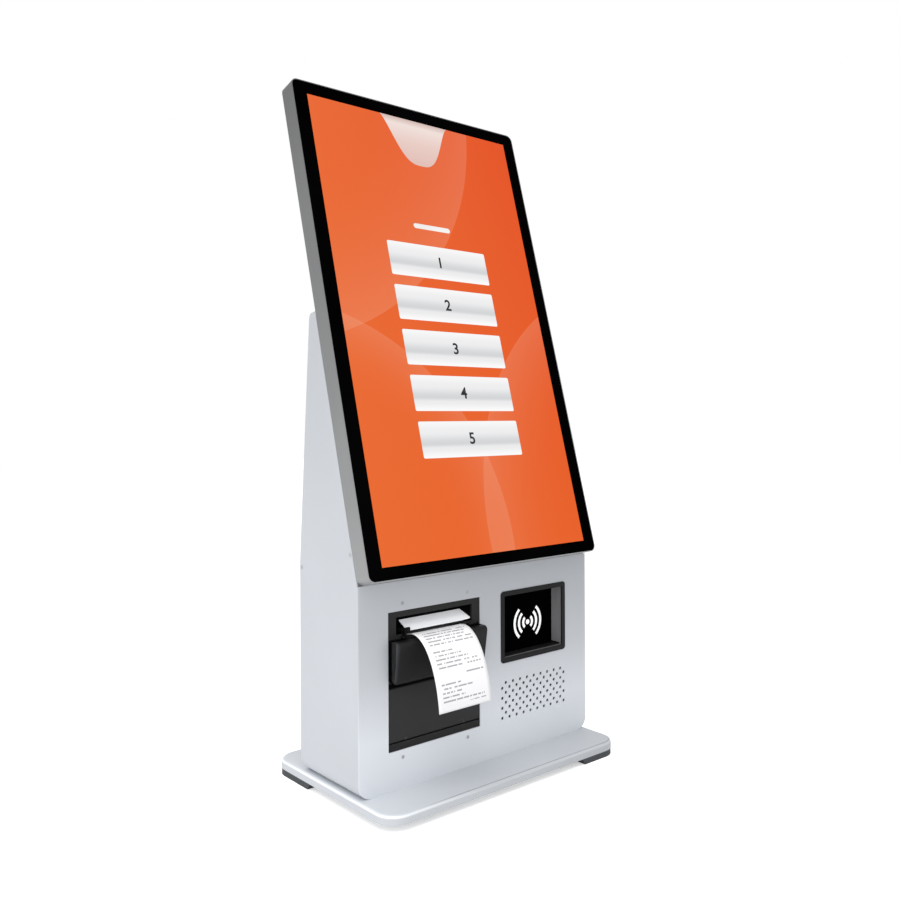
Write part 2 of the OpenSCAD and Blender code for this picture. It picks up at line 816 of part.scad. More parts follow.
module printer_body() color(dark) at_printer() {
    difference() {
        span([-flange_x, back_y, printer_z - body_rim],
            [flange_x, back_y + body_plate, printer_top + body_rim]);
        span([-cheek_in, 0, hinge_z - door_t], [cheek_in, 2 * back_y, cheek_top + over]);
        span([-door_half - part_gap, 0, hinge_z - door_t - part_gap],
            [door_half + part_gap, 2 * back_y, hinge_z + door_t + part_gap]);
        span([-shaft_left - part_gap, 0, platen_z - 2 * platen_d],
            [gear_in + 2 * gear_t, 2 * back_y, frame_z]);
        span([-chute_half - part_gap, 0, frame_z - part_gap],
            [chute_half + part_gap, 2 * back_y, mouth_top + 2 * body_plate + part_gap]);
        printer_screw_holes();
    }
    for (x0 = [cheek_in, -cheek_out]) side_plate(x0, cheek_t) cheek_shape();
    across(2 * cheek_in) {
        translate([back_y + 2 * door_t, bin_floor_z - bin_wall])
            square([bin_d - back_y - 2 * door_t, bin_wall]);
        translate([bin_d - bin_wall, bin_floor_z]) square([bin_wall, bin_back_h - platen_d]);
        translate([bar_y, platen_z - head_h / 3]) square([bar_t, head_h * 2 / 3]);
    }
    bore_x(feed_y, feed_z, post_d - 2 * run_gap, cheek_in,
        gear_in - cheek_in + gear_t + part_gap);
    mirror([1, 0, 0])
        bore_x(lever_y, lever_z, lever_pin_d - 2 * run_gap, cheek_out, shaft_left - cheek_out);
}

// A white plate from the tear bar up to the rear of the mouth
light_foot = 2.4;
light_rise = 10;
light_edge = 0.4;
light_t = 1.2;
light_seat = 2;
light_left = 41.3;
light_right = 41.9;
light_tip_in = 2.4;
light_side = 0.6;
module light_guide() color("white", 0.9) at_printer() {
    front = sink + seat_gap;
    low = tear_z + light_foot;
    intersection() {
        across(2 * mouth_half) polygon([[front, low], [front + light_seat, low],
            [mouth_rear, low + light_rise - light_t], [mouth_rear, low + light_rise],
            [front, low + light_edge]]);
        translate([0, 0, low - over]) linear_extrude(light_rise + 2 * over)
            polygon([[-light_left, front], [light_right, front],
                [mouth_half - 2 * light_side, front + light_tip_in],
                [mouth_back_half - light_side, mouth_rear], [-light_left, mouth_rear]]);
    }
}

tear_pitch = 2;
tear_tooth = 1.2;
tear_half = lever_in - part_gap - tear_tooth / 2;
module tear_bar() color(black) at_printer() translate([0, 0, tear_z]) {
    teeth = floor(2 * paper_half / tear_pitch);
    linear_extrude(light_foot) polygon(concat(
        [[-tear_half, mouth_rear], [-tear_half, sink + tear_tooth]],
        [for (i = [0 : 2 * teeth]) [(i - teeth) * tear_pitch / 2, sink + (i % 2) * tear_tooth]],
        [[tear_half, sink + tear_tooth], [tear_half, mouth_rear]]));
}

module print_head() color(steel) at_printer()
    span([-cheek_in, head_y, platen_z - head_h / 2],
        [cheek_in, head_y + head_t, platen_z + head_h / 2]);

wire_d = 0.9;
spring_r = 3;
spring_turns = 3.5;
ring_sides = 8;
spring_rings = 14;
function coil_ring(i, rings, r, length, turns, wire) =
    let (a = 360 * turns * i / rings, y = wire / 2 + (length - wire) * i / rings)
    [for (k = [0 : ring_sides - 1]) let (b = 360 * k / ring_sides)
        [(r + wire / 2 * cos(b)) * cos(a), y + wire / 2 * sin(b), (r + wire / 2 * cos(b)) * sin(a)]];

module coil(r, length, turns, wire) {
    rings = ceil(turns * spring_rings);
    points = [for (i = [0 : rings]) each coil_ring(i, rings, r, length, turns, wire)];
    skin = [for (i = [0 : rings - 1], k = [0 : ring_sides - 1]) let (n = (k + 1) % ring_sides)
        [i * ring_sides + k, i * ring_sides + n, (i + 1) * ring_sides + n, (i + 1) * ring_sides + k]];
    polyhedron(points, concat(skin, [[for (k = [ring_sides - 1 : -1 : 0]) k]],
        [[for (k = [0 : ring_sides - 1]) rings * ring_sides + k]]), convexity = 10);
}

module head_springs() color(steel) at_printer() for (side = [-1, 1])
    translate([side * spring_x, head_y + head_t, platen_z])
        coil(spring_r, spring_len, spring_turns, wire_d);

module feed_motor() color(steel) at_printer() difference() {
    union() {
        bore_x(motor_y, motor_z, motor_d, cheek_in - motor_len, motor_len);
        bore_x(motor_y, motor_z, motor_boss_d, cheek_in, cheek_t / 2);
    }
    bore_x(motor_y, motor_z, loose(motor_shaft_d), cheek_in - motor_len / 3, motor_len);
}

// Tooth outline as steps along the pitch and shares of the module above the pitch line
tooth_shares = [[-0.34, -1.2], [-0.2, 0], [-0.1, 1], [0.1, 1], [0.2, 0], [0.34, -1.2]];
module gear(teeth, bore) {
    difference() {
        polygon([for (i = [0 : teeth - 1], p = tooth_shares)
            let (a = 360 * (i + p[0]) / teeth, r = gear_mod * (teeth / 2 + p[1]))
            r * [cos(a), sin(a)]]);
        circle(d = bore);
    }
}

module gear_at(y, z, turn, teeth, bore, hub_d) {
    translate([gear_in, y, z]) rotate([90, 0, 90]) rotate(turn) {
        linear_extrude(gear_t) gear(teeth, bore);
        translate([0, 0, -part_gap]) linear_extrude(part_gap) difference() {
            circle(d = hub_d);
            circle(d = bore);
        }
    }
}

module motor_pinion() color(nylon) at_printer() {
    gear_at(motor_y, motor_z, motor_angle + 180, pinion_teeth, motor_shaft_d / 2, pinion_hub_d);
    color(steel) bore_x(motor_y, motor_z, motor_shaft_d, cheek_in - motor_len / 3 + part_gap,
        gear_in + gear_t - cheek_in + motor_len / 3);
}

module feed_gear() color(nylon) at_printer() difference() {
    gear_at(feed_y, feed_z, 0, feed_teeth, post_d, 2 * post_d);
    for (i = [0 : 5]) translate([gear_in - over, feed_y, feed_z]) rotate([60 * i, 0, 0])
        translate([0, feed_teeth * gear_mod / 3, 0]) rotate([0, 90, 0])
            cylinder(d = post_d, h = gear_t + 2 * over);
}

module hinge_rod() color(steel) at_printer()
    bore_x(hinge_y, hinge_z, rod_d, -door_half, 2 * door_half);

hood_lean = atan((hood_out - hood_low_out) / (hood_h - 2 * hood_r));
hood_steps = 6;
module hood_side(inset) {
    foot = hood_foot + inset;
    top = shelf_z - inset;
    out = hood_out - inset;
    low_out = hood_low_out - inset;
    r = hood_r - inset / 2;
    polygon(concat([[hinge_y + inset, foot], [sink, foot]],
        arc([r - low_out, foot + r], r, 270, 180 + hood_lean, hood_steps),
        arc([r - out, top - r], r, 180 + hood_lean, 90, hood_steps),
        [[hinge_y + inset, top]]));
}

module hood_solid(inset) {
    intersection() {
        across(4 * door_half) hood_side(inset);
        rearward(-2 * hood_out, 4 * hood_out) translate([0, hood_foot + inset])
            arch(2 * (door_half - inset), hood_h - 2 * inset, hood_low_r - inset, over);
        translate([0, 0, hood_foot - over]) linear_extrude(hood_h + 2 * over)
            polygon([[inset - door_half, 2 * hinge_y], [door_half - inset, 2 * hinge_y],
                [door_half - hood_draft - inset, -hood_out - over],
                [hood_draft + inset - door_half, -hood_out - over]]);
    }
}

module printer_door() color(black) at_printer() difference() {
    union() {
        difference() {
            union() {
                span([-door_half, sink, hinge_z], [door_half, hinge_y, shelf_z]);
                hood_solid(0);
            }
            intersection() {
                hood_solid(hood_wall);
                span([-printer_w, -2 * hood_out, 0], [printer_w, 2 * back_y, printer_top]);
            }
            span([-door_half + 2 * hood_draft, sink - over, hood_foot + 2 * hood_wall],
                [door_half - 2 * hood_draft, 2 * back_y, shelf_z - hood_wall]);
        }
        bore_x(hinge_y, hinge_z, 2 * door_t, -door_half, 2 * door_half);
        for (x0 = [ear_in, -ear_in - ear_t]) side_plate(x0, ear_t) {
            translate([hood_wall - hood_out + over, platen_z - platen_d / 3])
                square([platen_y + hood_out - hood_wall - over, platen_d * 2 / 3]);
            translate([platen_y, platen_z]) circle(platen_d / 3);
        }
    }
    bore_x(hinge_y, hinge_z, loose(rod_d), -printer_w, 2 * printer_w);
    bore_x(platen_y, platen_z, loose(shaft_d), -printer_w, 2 * printer_w);
    for (x0 = [cheek_in - part_gap, -cheek_out - part_gap])
        bore_x(hinge_y, hinge_z, 2 * door_t + 2 * part_gap, x0, cheek_t + 2 * part_gap);
}

function bezier(t, a, b, c, d) = pow(1 - t, 3) * a + 3 * pow(1 - t, 2) * t * b
    + 3 * (1 - t) * pow(t, 2) * c + pow(t, 3) * d;
receipt_line = concat(arc([platen_y, platen_z], wrap_r, wrap_from, 90, wrap_steps),
    [for (i = [0 : receipt_steps]) bezier(i / receipt_steps, receipt_start, receipt_over,
        receipt_fall, receipt_end)]);

// A line of points given a thickness to its outer side
function unit(v) = v / norm(v);
function side_step(line, i) = let (a = line[max(0, i - 1)], b = line[min(len(line) - 1, i + 1)],
    d = unit(b - a)) [d[1], -d[0]];
function ribbon(line, thick) = concat(line,
    [for (i = [len(line) - 1 : -1 : 0]) line[i] + thick * side_step(line, i)]);

module receipt() color("white") at_printer() across(paper_w) polygon(ribbon(receipt_line, paper_t));

web_end_rise = 2;
function tangent_point(p, c, r) = let (d = norm(c - p), a = acos(r / d),
    u = (p - c) / d) c + r * [u[0] * cos(a) - u[1] * sin(a), u[0] * sin(a) + u[1] * cos(a)];
module paper_web() color("white") at_printer() {
    nip = [nip_y, platen_z];
    leave = tangent_point(nip, [roll_y, roll_z], roll_d / 2 + paper_air + paper_t);
    across(paper_w) polygon([leave, nip, nip + [0, web_end_rise], nip + [paper_t, web_end_rise],
        nip + [paper_t, 0], leave + [paper_t, 0]]);
}

module platen_roller() color(rubber) at_printer() difference() {
    bore_x(platen_y, platen_z, platen_d, part_gap - ear_in, 2 * ear_in - 2 * part_gap);
    bore_x(platen_y, platen_z, loose(shaft_d), -printer_w, 2 * printer_w);
}

module platen_shaft() color(steel) at_printer()
    bore_x(platen_y, platen_z, shaft_d, -shaft_left, shaft_left + gear_in + gear_t + part_gap);

module platen_gear() color(nylon) at_printer()
    gear_at(platen_y, platen_z, 180 / platen_teeth, platen_teeth, loose(shaft_d), 2 * shaft_d);

module paper_roll() color("white") at_printer() difference() {
    bore_x(roll_y, roll_z, roll_d, -paper_w / 2, paper_w);
    bore_x(roll_y, roll_z, loose(spindle_d), -paper_w, 2 * paper_w);
}

module roll_spindle() color(nylon) at_printer()
    bore_x(roll_y, roll_z, spindle_d, -cheek_out, 2 * cheek_out);

// A bell crank: pressing its tab down turns its nose against the platen shaft
lever_boss_share = 1.2;
module release_lever() color(black) at_printer() difference() {
    union() {
        side_plate(-lever_in - lever_t, lever_t) {
            translate([lever_y, lever_z]) circle(lever_boss_share * lever_pin_d);
            translate([lever_y - lever_pin_d, lever_z])
                square([2 * lever_pin_d, tear_z + lever_rest - lever_z]);
            translate([-tab_out, tear_z + lever_rest - lever_arm_h])
                square([lever_y + lever_pin_d + tab_out, lever_arm_h]);
            translate([platen_y + shaft_d / 2 + lever_nose_gap, platen_z - lever_nose_h / 2])
                square([lever_y - platen_y - shaft_d / 2 - lever_nose_gap, lever_nose_h]);
        }
        span([-lever_in - lever_t, -tab_out, tear_z + lever_rest - lever_arm_h],
            [part_gap - lever_in, tab_t - tab_out, tear_z + tab_low + tab_h]);
        span([-lever_in - lever_t, -tab_out, tear_z + tab_low],
            [-tab_in, tab_t - tab_out, tear_z + tab_low + tab_h]);
    }
    bore_x(lever_y, lever_z, lever_pin_d, -printer_w, 2 * printer_w);
}

// Reader pocket

module reader_bezel() color(dark) on_base() translate([reader_x, 0, 0]) difference() {
    union() {
        translate([0, 0, reader_z]) rearward(-reader_lip, reader_lip)
            arch(reader_w, reader_h, reader_r, reader_r);
        translate([0, 0, reader_z + reader_rim / 2 + seat_gap]) rearward(-reader_lip, reader_lip + pocket_d)
            arch(reader_w - reader_rim - 2 * seat_gap, reader_h - reader_rim - 2 * seat_gap,
                reader_r / 2, reader_r / 2);
    }
    hull() {
        translate([0, 0, reader_z + reader_rim]) rearward(-reader_lip - over, over)
            square_on(reader_w - 2 * reader_rim, reader_h - 2 * reader_rim);
        translate([0, 0, reader_z + reader_rim + reader_draft]) rearward(pocket_d, over)
            square_on(reader_w - 2 * (reader_rim + reader_draft),
                reader_h - 2 * (reader_rim + reader_draft));
    }
}

module square_on(w, h) {
    translate([-w / 2, 0]) square([w, h]);
}

module reader_window() color(black) on_base() translate([reader_x, 0, reader_z + reader_rim])
    rearward(pocket_d, window_t) square_on(reader_w - 2 * reader_rim, reader_h - 2 * reader_rim);

reader_board_w = 80;
reader_board_h = 60;
module reader_board() on_base()
    translate([reader_x, 0, reader_z + (reader_h - reader_board_h) / 2]) {
    y0 = pocket_d + window_t;
    for (sx = [-1, 1], up = [0, 1]) bore_y(sx * (reader_board_w / 2 - standoff_d),
        standoff_d + up * (reader_board_h - 2 * standoff_d), standoff_d, y0, standoff_h);
    color(board_green) rearward(y0 + standoff_h, board_t)
        square_on(reader_board_w, reader_board_h);
    rearward(y0 + standoff_h + board_t, tray_bosses)
        square_on(reader_board_w / 3, reader_board_h / 3);
}

// Speaker

speaker_mid_z = grille_z + (grille_rows - 1) * grille_row / 2;
module at_speaker() {
    on_base() translate([reader_x, sheet, speaker_mid_z]) children();
}

basket_rim = 6;
module race_track(w, h) {
    round_rect(w, h, h / 2 - seat_gap);
}

module speaker_basket() color(dark) at_speaker() difference() {
    union() {
        rearward(0, speaker_t) round_rect(speaker_w, speaker_h, basket_rim / 2);
        rearward(speaker_t, cone_d) race_track(speaker_w - basket_rim, speaker_h - basket_rim);
    }
    rearward(-over, cone_d + speaker_t + over - speaker_t)
        race_track(speaker_w - 2 * basket_rim, speaker_h - 2 * basket_rim);
    for (side = [-1, 1], i = [-1 : 1]) translate([i * speaker_w / 4, 0, 0])
        span([-basket_rim, speaker_t + basket_rim / 2, side > 0 ? basket_rim : -speaker_h],
            [basket_rim, cone_d, side > 0 ? speaker_h : -basket_rim]);
    bore_y(0, 0, magnet_d / 2, 0, 4 * cone_d);
}

surround = 3;
module speaker_cone() color(black) at_speaker() {
    rearward(speaker_t / 2, over)
        race_track(speaker_w - 2 * basket_rim - 2 * run_gap, speaker_h - 2 * basket_rim - 2 * run_gap);
    translate([0, speaker_t / 2 + over, 0]) rotate([-90, 0, 0])
        cylinder(d1 = speaker_h - 2 * basket_rim - 2 * surround, d2 = magnet_d / 2 - 2 * part_gap,
            h = cone_d - speaker_t / 2 - over);
}

module speaker_magnet() color(steel) at_speaker() difference() {
    bore_y(0, 0, magnet_d, speaker_t + cone_d, magnet_t);
    bore_y(0, 0, magnet_d / 2, cone_d, magnet_t - 2 * sheet);
}

// Electronics on the right-hand wall and the floor

tray_flange = 10;
tray_hole_shares = [0.25, 0.75];
module board_tray() color(steel) on_base() difference() {
    span([wall_in - mount_t, board_back, board_z - tray_flange],
        [wall_in, board_back + board_w, board_z + board_h + tray_flange]);
    for (up = tray_hole_shares)
        bore_x(board_back + board_w / 2, board_z + up * board_h, board_w / 3, 0, ped_w);
}

jack_step_share = 1.6;
module main_board() on_base() {
    x1 = wall_in - mount_t - standoff_h;
    for (i = [0, 1], up = [0, 1]) bore_x(board_back + standoff_d + i * (board_w - 2 * standoff_d),
        board_z + standoff_d + up * (board_h - 2 * standoff_d), standoff_d, x1, standoff_h);
    color(board_green) span([x1 - board_t, board_back, board_z],
        [x1, board_back + board_w, board_z + board_h]);
    for (i = [0 : 3]) translate([0, 0, board_z + (2 + i * jack_step_share) * port_w])
        span([x1 - board_t - port_h, board_back + board_w - port_d, 0],
            [x1 - board_t, board_back + board_w, port_w]);
}

sink_w = 50;
sink_base_t = 3;
fin_t = 1.2;
fins = 9;
fin_h = 14;
module heat_sink() color(alloy) on_base() {
    x1 = wall_in - mount_t - standoff_h - board_t;
    translate([x1, board_back + board_w / 4, board_z + board_h / 3]) {
        translate([-sink_base_t, -sink_w / 4, 0]) cube([sink_base_t, sink_w, sink_w]);
        for (i = [0 : fins - 1])
            translate([-sink_base_t - fin_h, -sink_w / 4 + i * (sink_w - fin_t) / (fins - 1), 0])
                cube([fin_h, fin_t, sink_w]);
    }
}

module power_supply() color(steel) on_base() difference() {
    span([psu_x - psu_w / 2, psu_back, sheet],
        [psu_x + psu_w / 2, psu_back + psu_d, sheet + psu_h]);
    for (i = [0 : 9])
        translate([psu_x - psu_w / 2, psu_back + psu_d / 6 + i * psu_d / 15, sheet + psu_h / 3])
            span([-over, 0, 0], [over, sheet, psu_h / 3]);
}

inlet_x = -io_w / 2 + io_lap * 2 + inlet_flange_w / 2;
switch_x = inlet_x + inlet_flange_w / 2 + rocker_w;
ports_x = switch_x + rocker_w / 2 + port_w;
module at_io() {
    on_base() translate([io_x, ped_d - sheet, io_mid]) children();
}

module io_plate() color(dark) at_io() difference() {
    rearward(-sheet, sheet) round_rect(io_w, io_h + 2 * io_lap, io_lap);
    rearward(-over - sheet, 4 * over) translate([inlet_x, 0]) round_rect(inlet_w, inlet_h, over);
    rearward(-over - sheet, 4 * over) translate([switch_x, 0])
        square([rocker_w, rocker_h], center = true);
    for (i = [0, 1]) rearward(-over - sheet, 4 * over)
        translate([ports_x + i * port_step_share * port_w, 0])
            square([port_w, port_h], center = true);
}

pin_w = 2;
pin_len = 12;
inlet_wall = 1.6;
module power_inlet() color(black) at_io() translate([inlet_x, 0, 0]) {
    difference() {
        union() {
            rearward(0, inlet_flange_t) round_rect(inlet_flange_w, inlet_flange_h, io_lap);
            rearward(-inlet_d, inlet_d) round_rect(inlet_w, inlet_h, over);
        }
        rearward(-pin_len - inlet_wall, inlet_d)
            round_rect(inlet_w - 2 * inlet_wall, inlet_h - 2 * inlet_wall, over);
    }
    for (i = [-1 : 1]) color(steel)
        translate([i * inlet_w / 4, -pin_len - inlet_wall, i == 0 ? inlet_h / 8 : -inlet_h / 8])
            span([-pin_w / 2, 0, -pin_w], [pin_w / 2, pin_len, pin_w]);
}

// The switch is a housing clipped into the plate, with the rocker on a pin in its mouth
switch_wall = 1.6;
switch_d = 17;
rocker_turn = 8;
rocker_back = 4;
rocker_out = 2.6;
rocker_dip = 1;
rocker_pin_d = 2;
rocker_tip = rocker_h / 2 - switch_wall - part_gap;
module switch_housing() color(black) at_io() translate([switch_x, 0, 0]) {
    difference() {
        union() {
            rearward(0, switch_wall)
                square([rocker_w + 2 * switch_wall, rocker_h + 2 * switch_wall], center = true);
            rearward(-switch_d, switch_d) square([rocker_w, rocker_h], center = true);
        }
        rearward(-switch_d + rocker_back, 2 * switch_d)
            square([rocker_w - 2 * switch_wall, rocker_h - switch_wall], center = true);
    }
    bore_x(-rocker_back, 0, rocker_pin_d, switch_wall - rocker_w / 2, rocker_w - 2 * switch_wall);
}

module rocker_switch() color(dark) at_io() translate([switch_x, -rocker_back, 0])
    across(rocker_w - 2 * switch_wall - part_gap) difference() {
        rotate(-rocker_turn) polygon([[-rocker_back, -rocker_tip / 2], [0, -rocker_tip],
            [rocker_back + rocker_out, -rocker_tip], [rocker_back + rocker_dip, 0],
            [rocker_back + rocker_out, rocker_tip], [0, rocker_tip],
            [-rocker_back, rocker_tip / 2]]);
        circle(d = loose(rocker_pin_d));
    }

module network_ports() color(steel) at_io() for (i = [0, 1])
    translate([ports_x + i * port_step_share * port_w, 0, 0]) difference() {
        rearward(-port_d, port_d + sheet) square([port_w, port_h], center = true);
        rearward(-port_d / 2, port_d)
            square([port_w - 2 * inlet_wall, port_h - 2 * inlet_wall], center = true);
    }

// Fan inside the leaning rear wall

fan_screw_d = 3.6;
module fan_corners() {
    for (sx = [-1, 1], sz = [-1, 1])
        translate([sx, 0, sz] * fan_size * fan_hole_pitch_share / 2) children();
}

module at_fan() {
    on_back() translate([0, -sheet - run_gap - fan_t, fan_up]) children();
}

fan_wall = 3;
module fan_frame() color(black) at_fan() difference() {
    rearward(0, fan_t) round_rect(fan_size, fan_size, fan_wall);
    difference() {
        bore_y(0, 0, fan_bore, -over, fan_t + 2 * over);
        bore_y(0, 0, fan_bore * hub_share, -2 * over, fan_wall + 2 * over);
        for (i = [0 : 3]) rotate([0, 90 * i + 45, 0])
            span([0, -2 * over, -fan_wall / 2], [fan_bore, fan_wall, fan_wall / 2]);
    }
    bore_y(0, 0, loose(motor_shaft_d), -2 * over, fan_t);
    fan_corners() bore_y(0, 0, fan_screw_d, -over, fan_t + 2 * over);
}

blade_pitch = 35;
module fan_rotor() color(dark) at_fan() {
    bore_y(0, 0, fan_bore * hub_share, fan_wall + part_gap, fan_t - fan_wall - 2 * part_gap);
    bore_y(0, 0, motor_shaft_d, sheet, fan_wall);
    intersection() {
        bore_y(0, 0, fan_bore - 2 * over, fan_wall + part_gap, fan_t - fan_wall - 2 * part_gap);
        for (i = [0 : blades - 1]) rotate([0, 360 * i / blades, 0])
            translate([fan_bore * hub_share / 2 - over, (fan_t + fan_wall) / 2, 0])
                rotate([blade_pitch, 0, 0])
                    span([0, -fan_t, -sheet / 2], [fan_bore / 2, fan_t, sheet / 2]);
    }
}

fan_head_h = 1.6;
module fan_screws() color(steel) on_back() translate([0, 0, fan_up]) fan_corners() {
    bore_y(0, 0, fan_screw_d, -sheet - run_gap - fan_t, sheet + run_gap + fan_t);
    bore_y(0, 0, 2 * fan_screw_d, 0, fan_head_h);
}

// Rear door with louvres, hinges and cam lock

louvre_w = 110;
louvre_h = 4;
louvre_pitch = 11;
louvres = 8;
module louvre_places() {
    for (side = [-1, 1], i = [0 : louvres - 1])
        translate([side * rear_door_w / 4 - lock_in / 4, 0,
            rear_door_z + rear_door_h / 5 + i * louvre_pitch]) children();
}

door_y = ped_d + part_gap;
module rear_door() color(paint) on_base() difference() {
    union() {
        translate([0, 0, rear_door_z]) rearward(door_y, sheet)
            arch(rear_door_w, rear_door_h, over, over);
        louvre_places() intersection() {
            rotate([0, 90, 0]) translate([0, door_y + sheet, -louvre_w / 2 + louvre_h])
                cylinder(r = louvre_h, h = louvre_w - 2 * louvre_h);
            span([-louvre_w, door_y, -louvre_h], [louvre_w, door_y + 2 * louvre_h, louvre_h]);
        }
        door_knuckles();
    }
    louvre_places() {
        rotate([0, 90, 0]) translate([0, door_y + sheet, -louvre_w / 2 + louvre_h + sheet])
            cylinder(r = louvre_h - sheet / 2, h = louvre_w - 2 * louvre_h - 2 * sheet);
        span([-louvre_w / 2 + louvre_h + sheet, door_y - over, -louvre_h - over],
            [louvre_w / 2 - louvre_h - sheet, door_y + 2 * louvre_h, 0]);
    }
    bore_y(lock_x, lock_z, loose(lock_d - 2 * over), 0, 2 * ped_d);
}

// The middle knuckle of each hinge turns with the door; the outer two stay on the shell
module hinge_places() {
    for (z0 = [rear_door_z + hinge_inset, rear_door_z + rear_door_h - hinge_inset - hinge_len])
        translate([-rear_hinge_x, rear_hinge_y, z0]) children();
}

module door_knuckles() {
    hinge_places() difference() {
        union() {
            translate([0, 0, hinge_len / 3 + seat_gap])
                cylinder(r = knuckle_r, h = hinge_len / 3 - 2 * seat_gap);
            span([0, door_y + sheet - rear_hinge_y, hinge_len / 3 + seat_gap],
                [knuckle_r + leaf_w, door_y + sheet + leaf_t - rear_hinge_y, hinge_len * 2 / 3 - seat_gap]);
        }
        translate([0, 0, -over]) cylinder(d = loose(hinge_pin_d), h = hinge_len + 2 * over);
    }
}

module door_hinges() color(steel) on_base() hinge_places() {
    for (z0 = [0, hinge_len * 2 / 3]) translate([0, 0, z0]) {
        cylinder(r = knuckle_r, h = hinge_len / 3);
        span([-leaf_w - knuckle_r / 2, ped_d - rear_hinge_y, 0],
            [0, ped_d + leaf_t - rear_hinge_y, hinge_len / 3]);
        span([-knuckle_r, ped_d - rear_hinge_y, 0], [0, 0, hinge_len / 3]);
    }
    cylinder(d = hinge_pin_d, h = hinge_len);
}

module lock_barrel() color(steel) on_base() difference() {
    union() {
        bore_y(lock_x, lock_z, lock_d - 2 * over, door_y - lock_len, lock_len + sheet);
        bore_y(lock_x, lock_z, lock_d + 2 * over, door_y + sheet, lock_head_t);
        bore_y(lock_x, lock_z, lock_d + 2 * over, door_y - sheet - over, sheet + over);
    }
    span([lock_x - over / 2, door_y, lock_z - lock_d / 4],
        [lock_x + over / 2, door_y + 2 * lock_len, lock_z + lock_d / 4]);
    bore_y(lock_x, lock_z, loose(lock_d / 3), 0, door_y - lock_len / 2);
}

// Unlocked at rest: the cranked tongue hangs down, a quarter turn from the frame
crank_r = 12;
module lock_cam() color(steel) on_base() translate([lock_x, 0, lock_z]) {
    cam_y = door_y - lock_len - cam_t - part_gap;
    tongue_y = ped_d - sheet - part_gap - cam_t;
    bore_y(0, 0, lock_d / 3, cam_y, lock_len / 2 + cam_t);
    rearward(cam_y, cam_t) {
        circle(lock_d / 2);
        translate([-lock_d / 4, -crank_r]) square([lock_d / 2, crank_r]);
    }
    span([-lock_d / 4, cam_y, -crank_r], [lock_d / 4, tongue_y + cam_t, cam_t - crank_r]);
    span([-lock_d / 4, tongue_y, -lock_in - door_lap], [lock_d / 4, tongue_y + cam_t, cam_t - crank_r]);
}

base_plate();
rubber_feet();
base_bolts();
pedestal_shell();
front_panel();
side_screws();
display_frame();
display_glass();
lcd_panel();
display_tray();
display_board();
display_mount();
mount_screws();
printer_bezel();
printer_screws();
printer_body();
light_guide();
tear_bar();
print_head();
head_springs();
feed_motor();
motor_pinion();
feed_gear();
hinge_rod();
printer_door();
receipt();
platen_roller();
platen_shaft();
platen_gear();
paper_roll();
roll_spindle();
paper_web();
release_lever();
reader_bezel();
reader_window();
reader_board();
speaker_basket();
speaker_cone();
speaker_magnet();
board_tray();
main_board();
heat_sink();
power_supply();
io_plate();
power_inlet();
switch_housing();
rocker_switch();
network_ports();
fan_frame();
fan_rotor();
fan_screws();
rear_door();
door_hinges();
lock_barrel();
lock_cam();
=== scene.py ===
import json
import math

import bpy
from mathutils import Matrix, Vector


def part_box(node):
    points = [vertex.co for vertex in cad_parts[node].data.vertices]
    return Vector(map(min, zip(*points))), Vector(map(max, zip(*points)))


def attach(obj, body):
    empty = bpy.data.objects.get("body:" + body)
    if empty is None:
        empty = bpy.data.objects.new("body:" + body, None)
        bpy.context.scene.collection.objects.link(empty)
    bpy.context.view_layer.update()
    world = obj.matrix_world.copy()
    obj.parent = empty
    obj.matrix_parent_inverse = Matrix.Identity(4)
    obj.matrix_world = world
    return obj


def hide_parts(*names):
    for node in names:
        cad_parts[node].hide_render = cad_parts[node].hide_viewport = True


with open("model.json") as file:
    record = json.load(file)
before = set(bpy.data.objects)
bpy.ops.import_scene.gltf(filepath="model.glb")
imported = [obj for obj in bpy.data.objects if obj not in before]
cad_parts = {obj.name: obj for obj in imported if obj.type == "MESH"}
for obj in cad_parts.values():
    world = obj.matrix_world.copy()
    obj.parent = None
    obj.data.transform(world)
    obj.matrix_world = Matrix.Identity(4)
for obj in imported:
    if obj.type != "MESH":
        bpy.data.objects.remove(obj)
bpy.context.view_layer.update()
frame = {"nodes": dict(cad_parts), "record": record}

nodes = frame["nodes"]
mm = 0.001


# Where the photograph was taken from, solved from its own edges
cameraPlace = {
    "eye": (-764.1 * mm, -923.2 * mm, 452.4 * mm),
    "yaw": -40.812,
    "pitchDown": 0.044,
    "roll": 0.251,
    "lens": 36.43,
    "sensor": 36.0,
    "shift": (-0.0202, -0.0358),
    "farthest": 50,
}


def placeCamera(place):
    yaw, pitch, roll = (math.radians(place[k]) for k in ("yaw", "pitchDown", "roll"))
    ahead = Vector((-math.sin(yaw) * math.cos(pitch), math.cos(yaw) * math.cos(pitch), -math.sin(pitch)))
    level = Vector((math.cos(yaw), math.sin(yaw), 0))
    down = ahead.cross(level)
    right = math.cos(roll) * level + math.sin(roll) * down
    down = math.cos(roll) * down - math.sin(roll) * level
    data = bpy.data.cameras.new("photoCamera")
    data.lens, data.sensor_width = place["lens"], place["sensor"]
    data.shift_x, data.shift_y = place["shift"]
    data.clip_end = place["farthest"]
    camera = bpy.data.objects.new("photoCamera", data)
    turn = Matrix((right, -down, -ahead)).transposed()
    camera.matrix_world = Matrix.Translation(place["eye"]) @ turn.to_4x4()
    bpy.context.scene.collection.objects.link(camera)
    bpy.context.scene.camera = camera


placeCamera(cameraPlace)
print("camera placed")


# Materials: every one reads Object coordinates, or the piece's own UV map
noiseSpan = (0.3, 0.7)   # where the noise texture's values mostly lie
fineDetail, cloudDetail = 2, 3
halfWidth = 190 * mm     # of the whole terminal


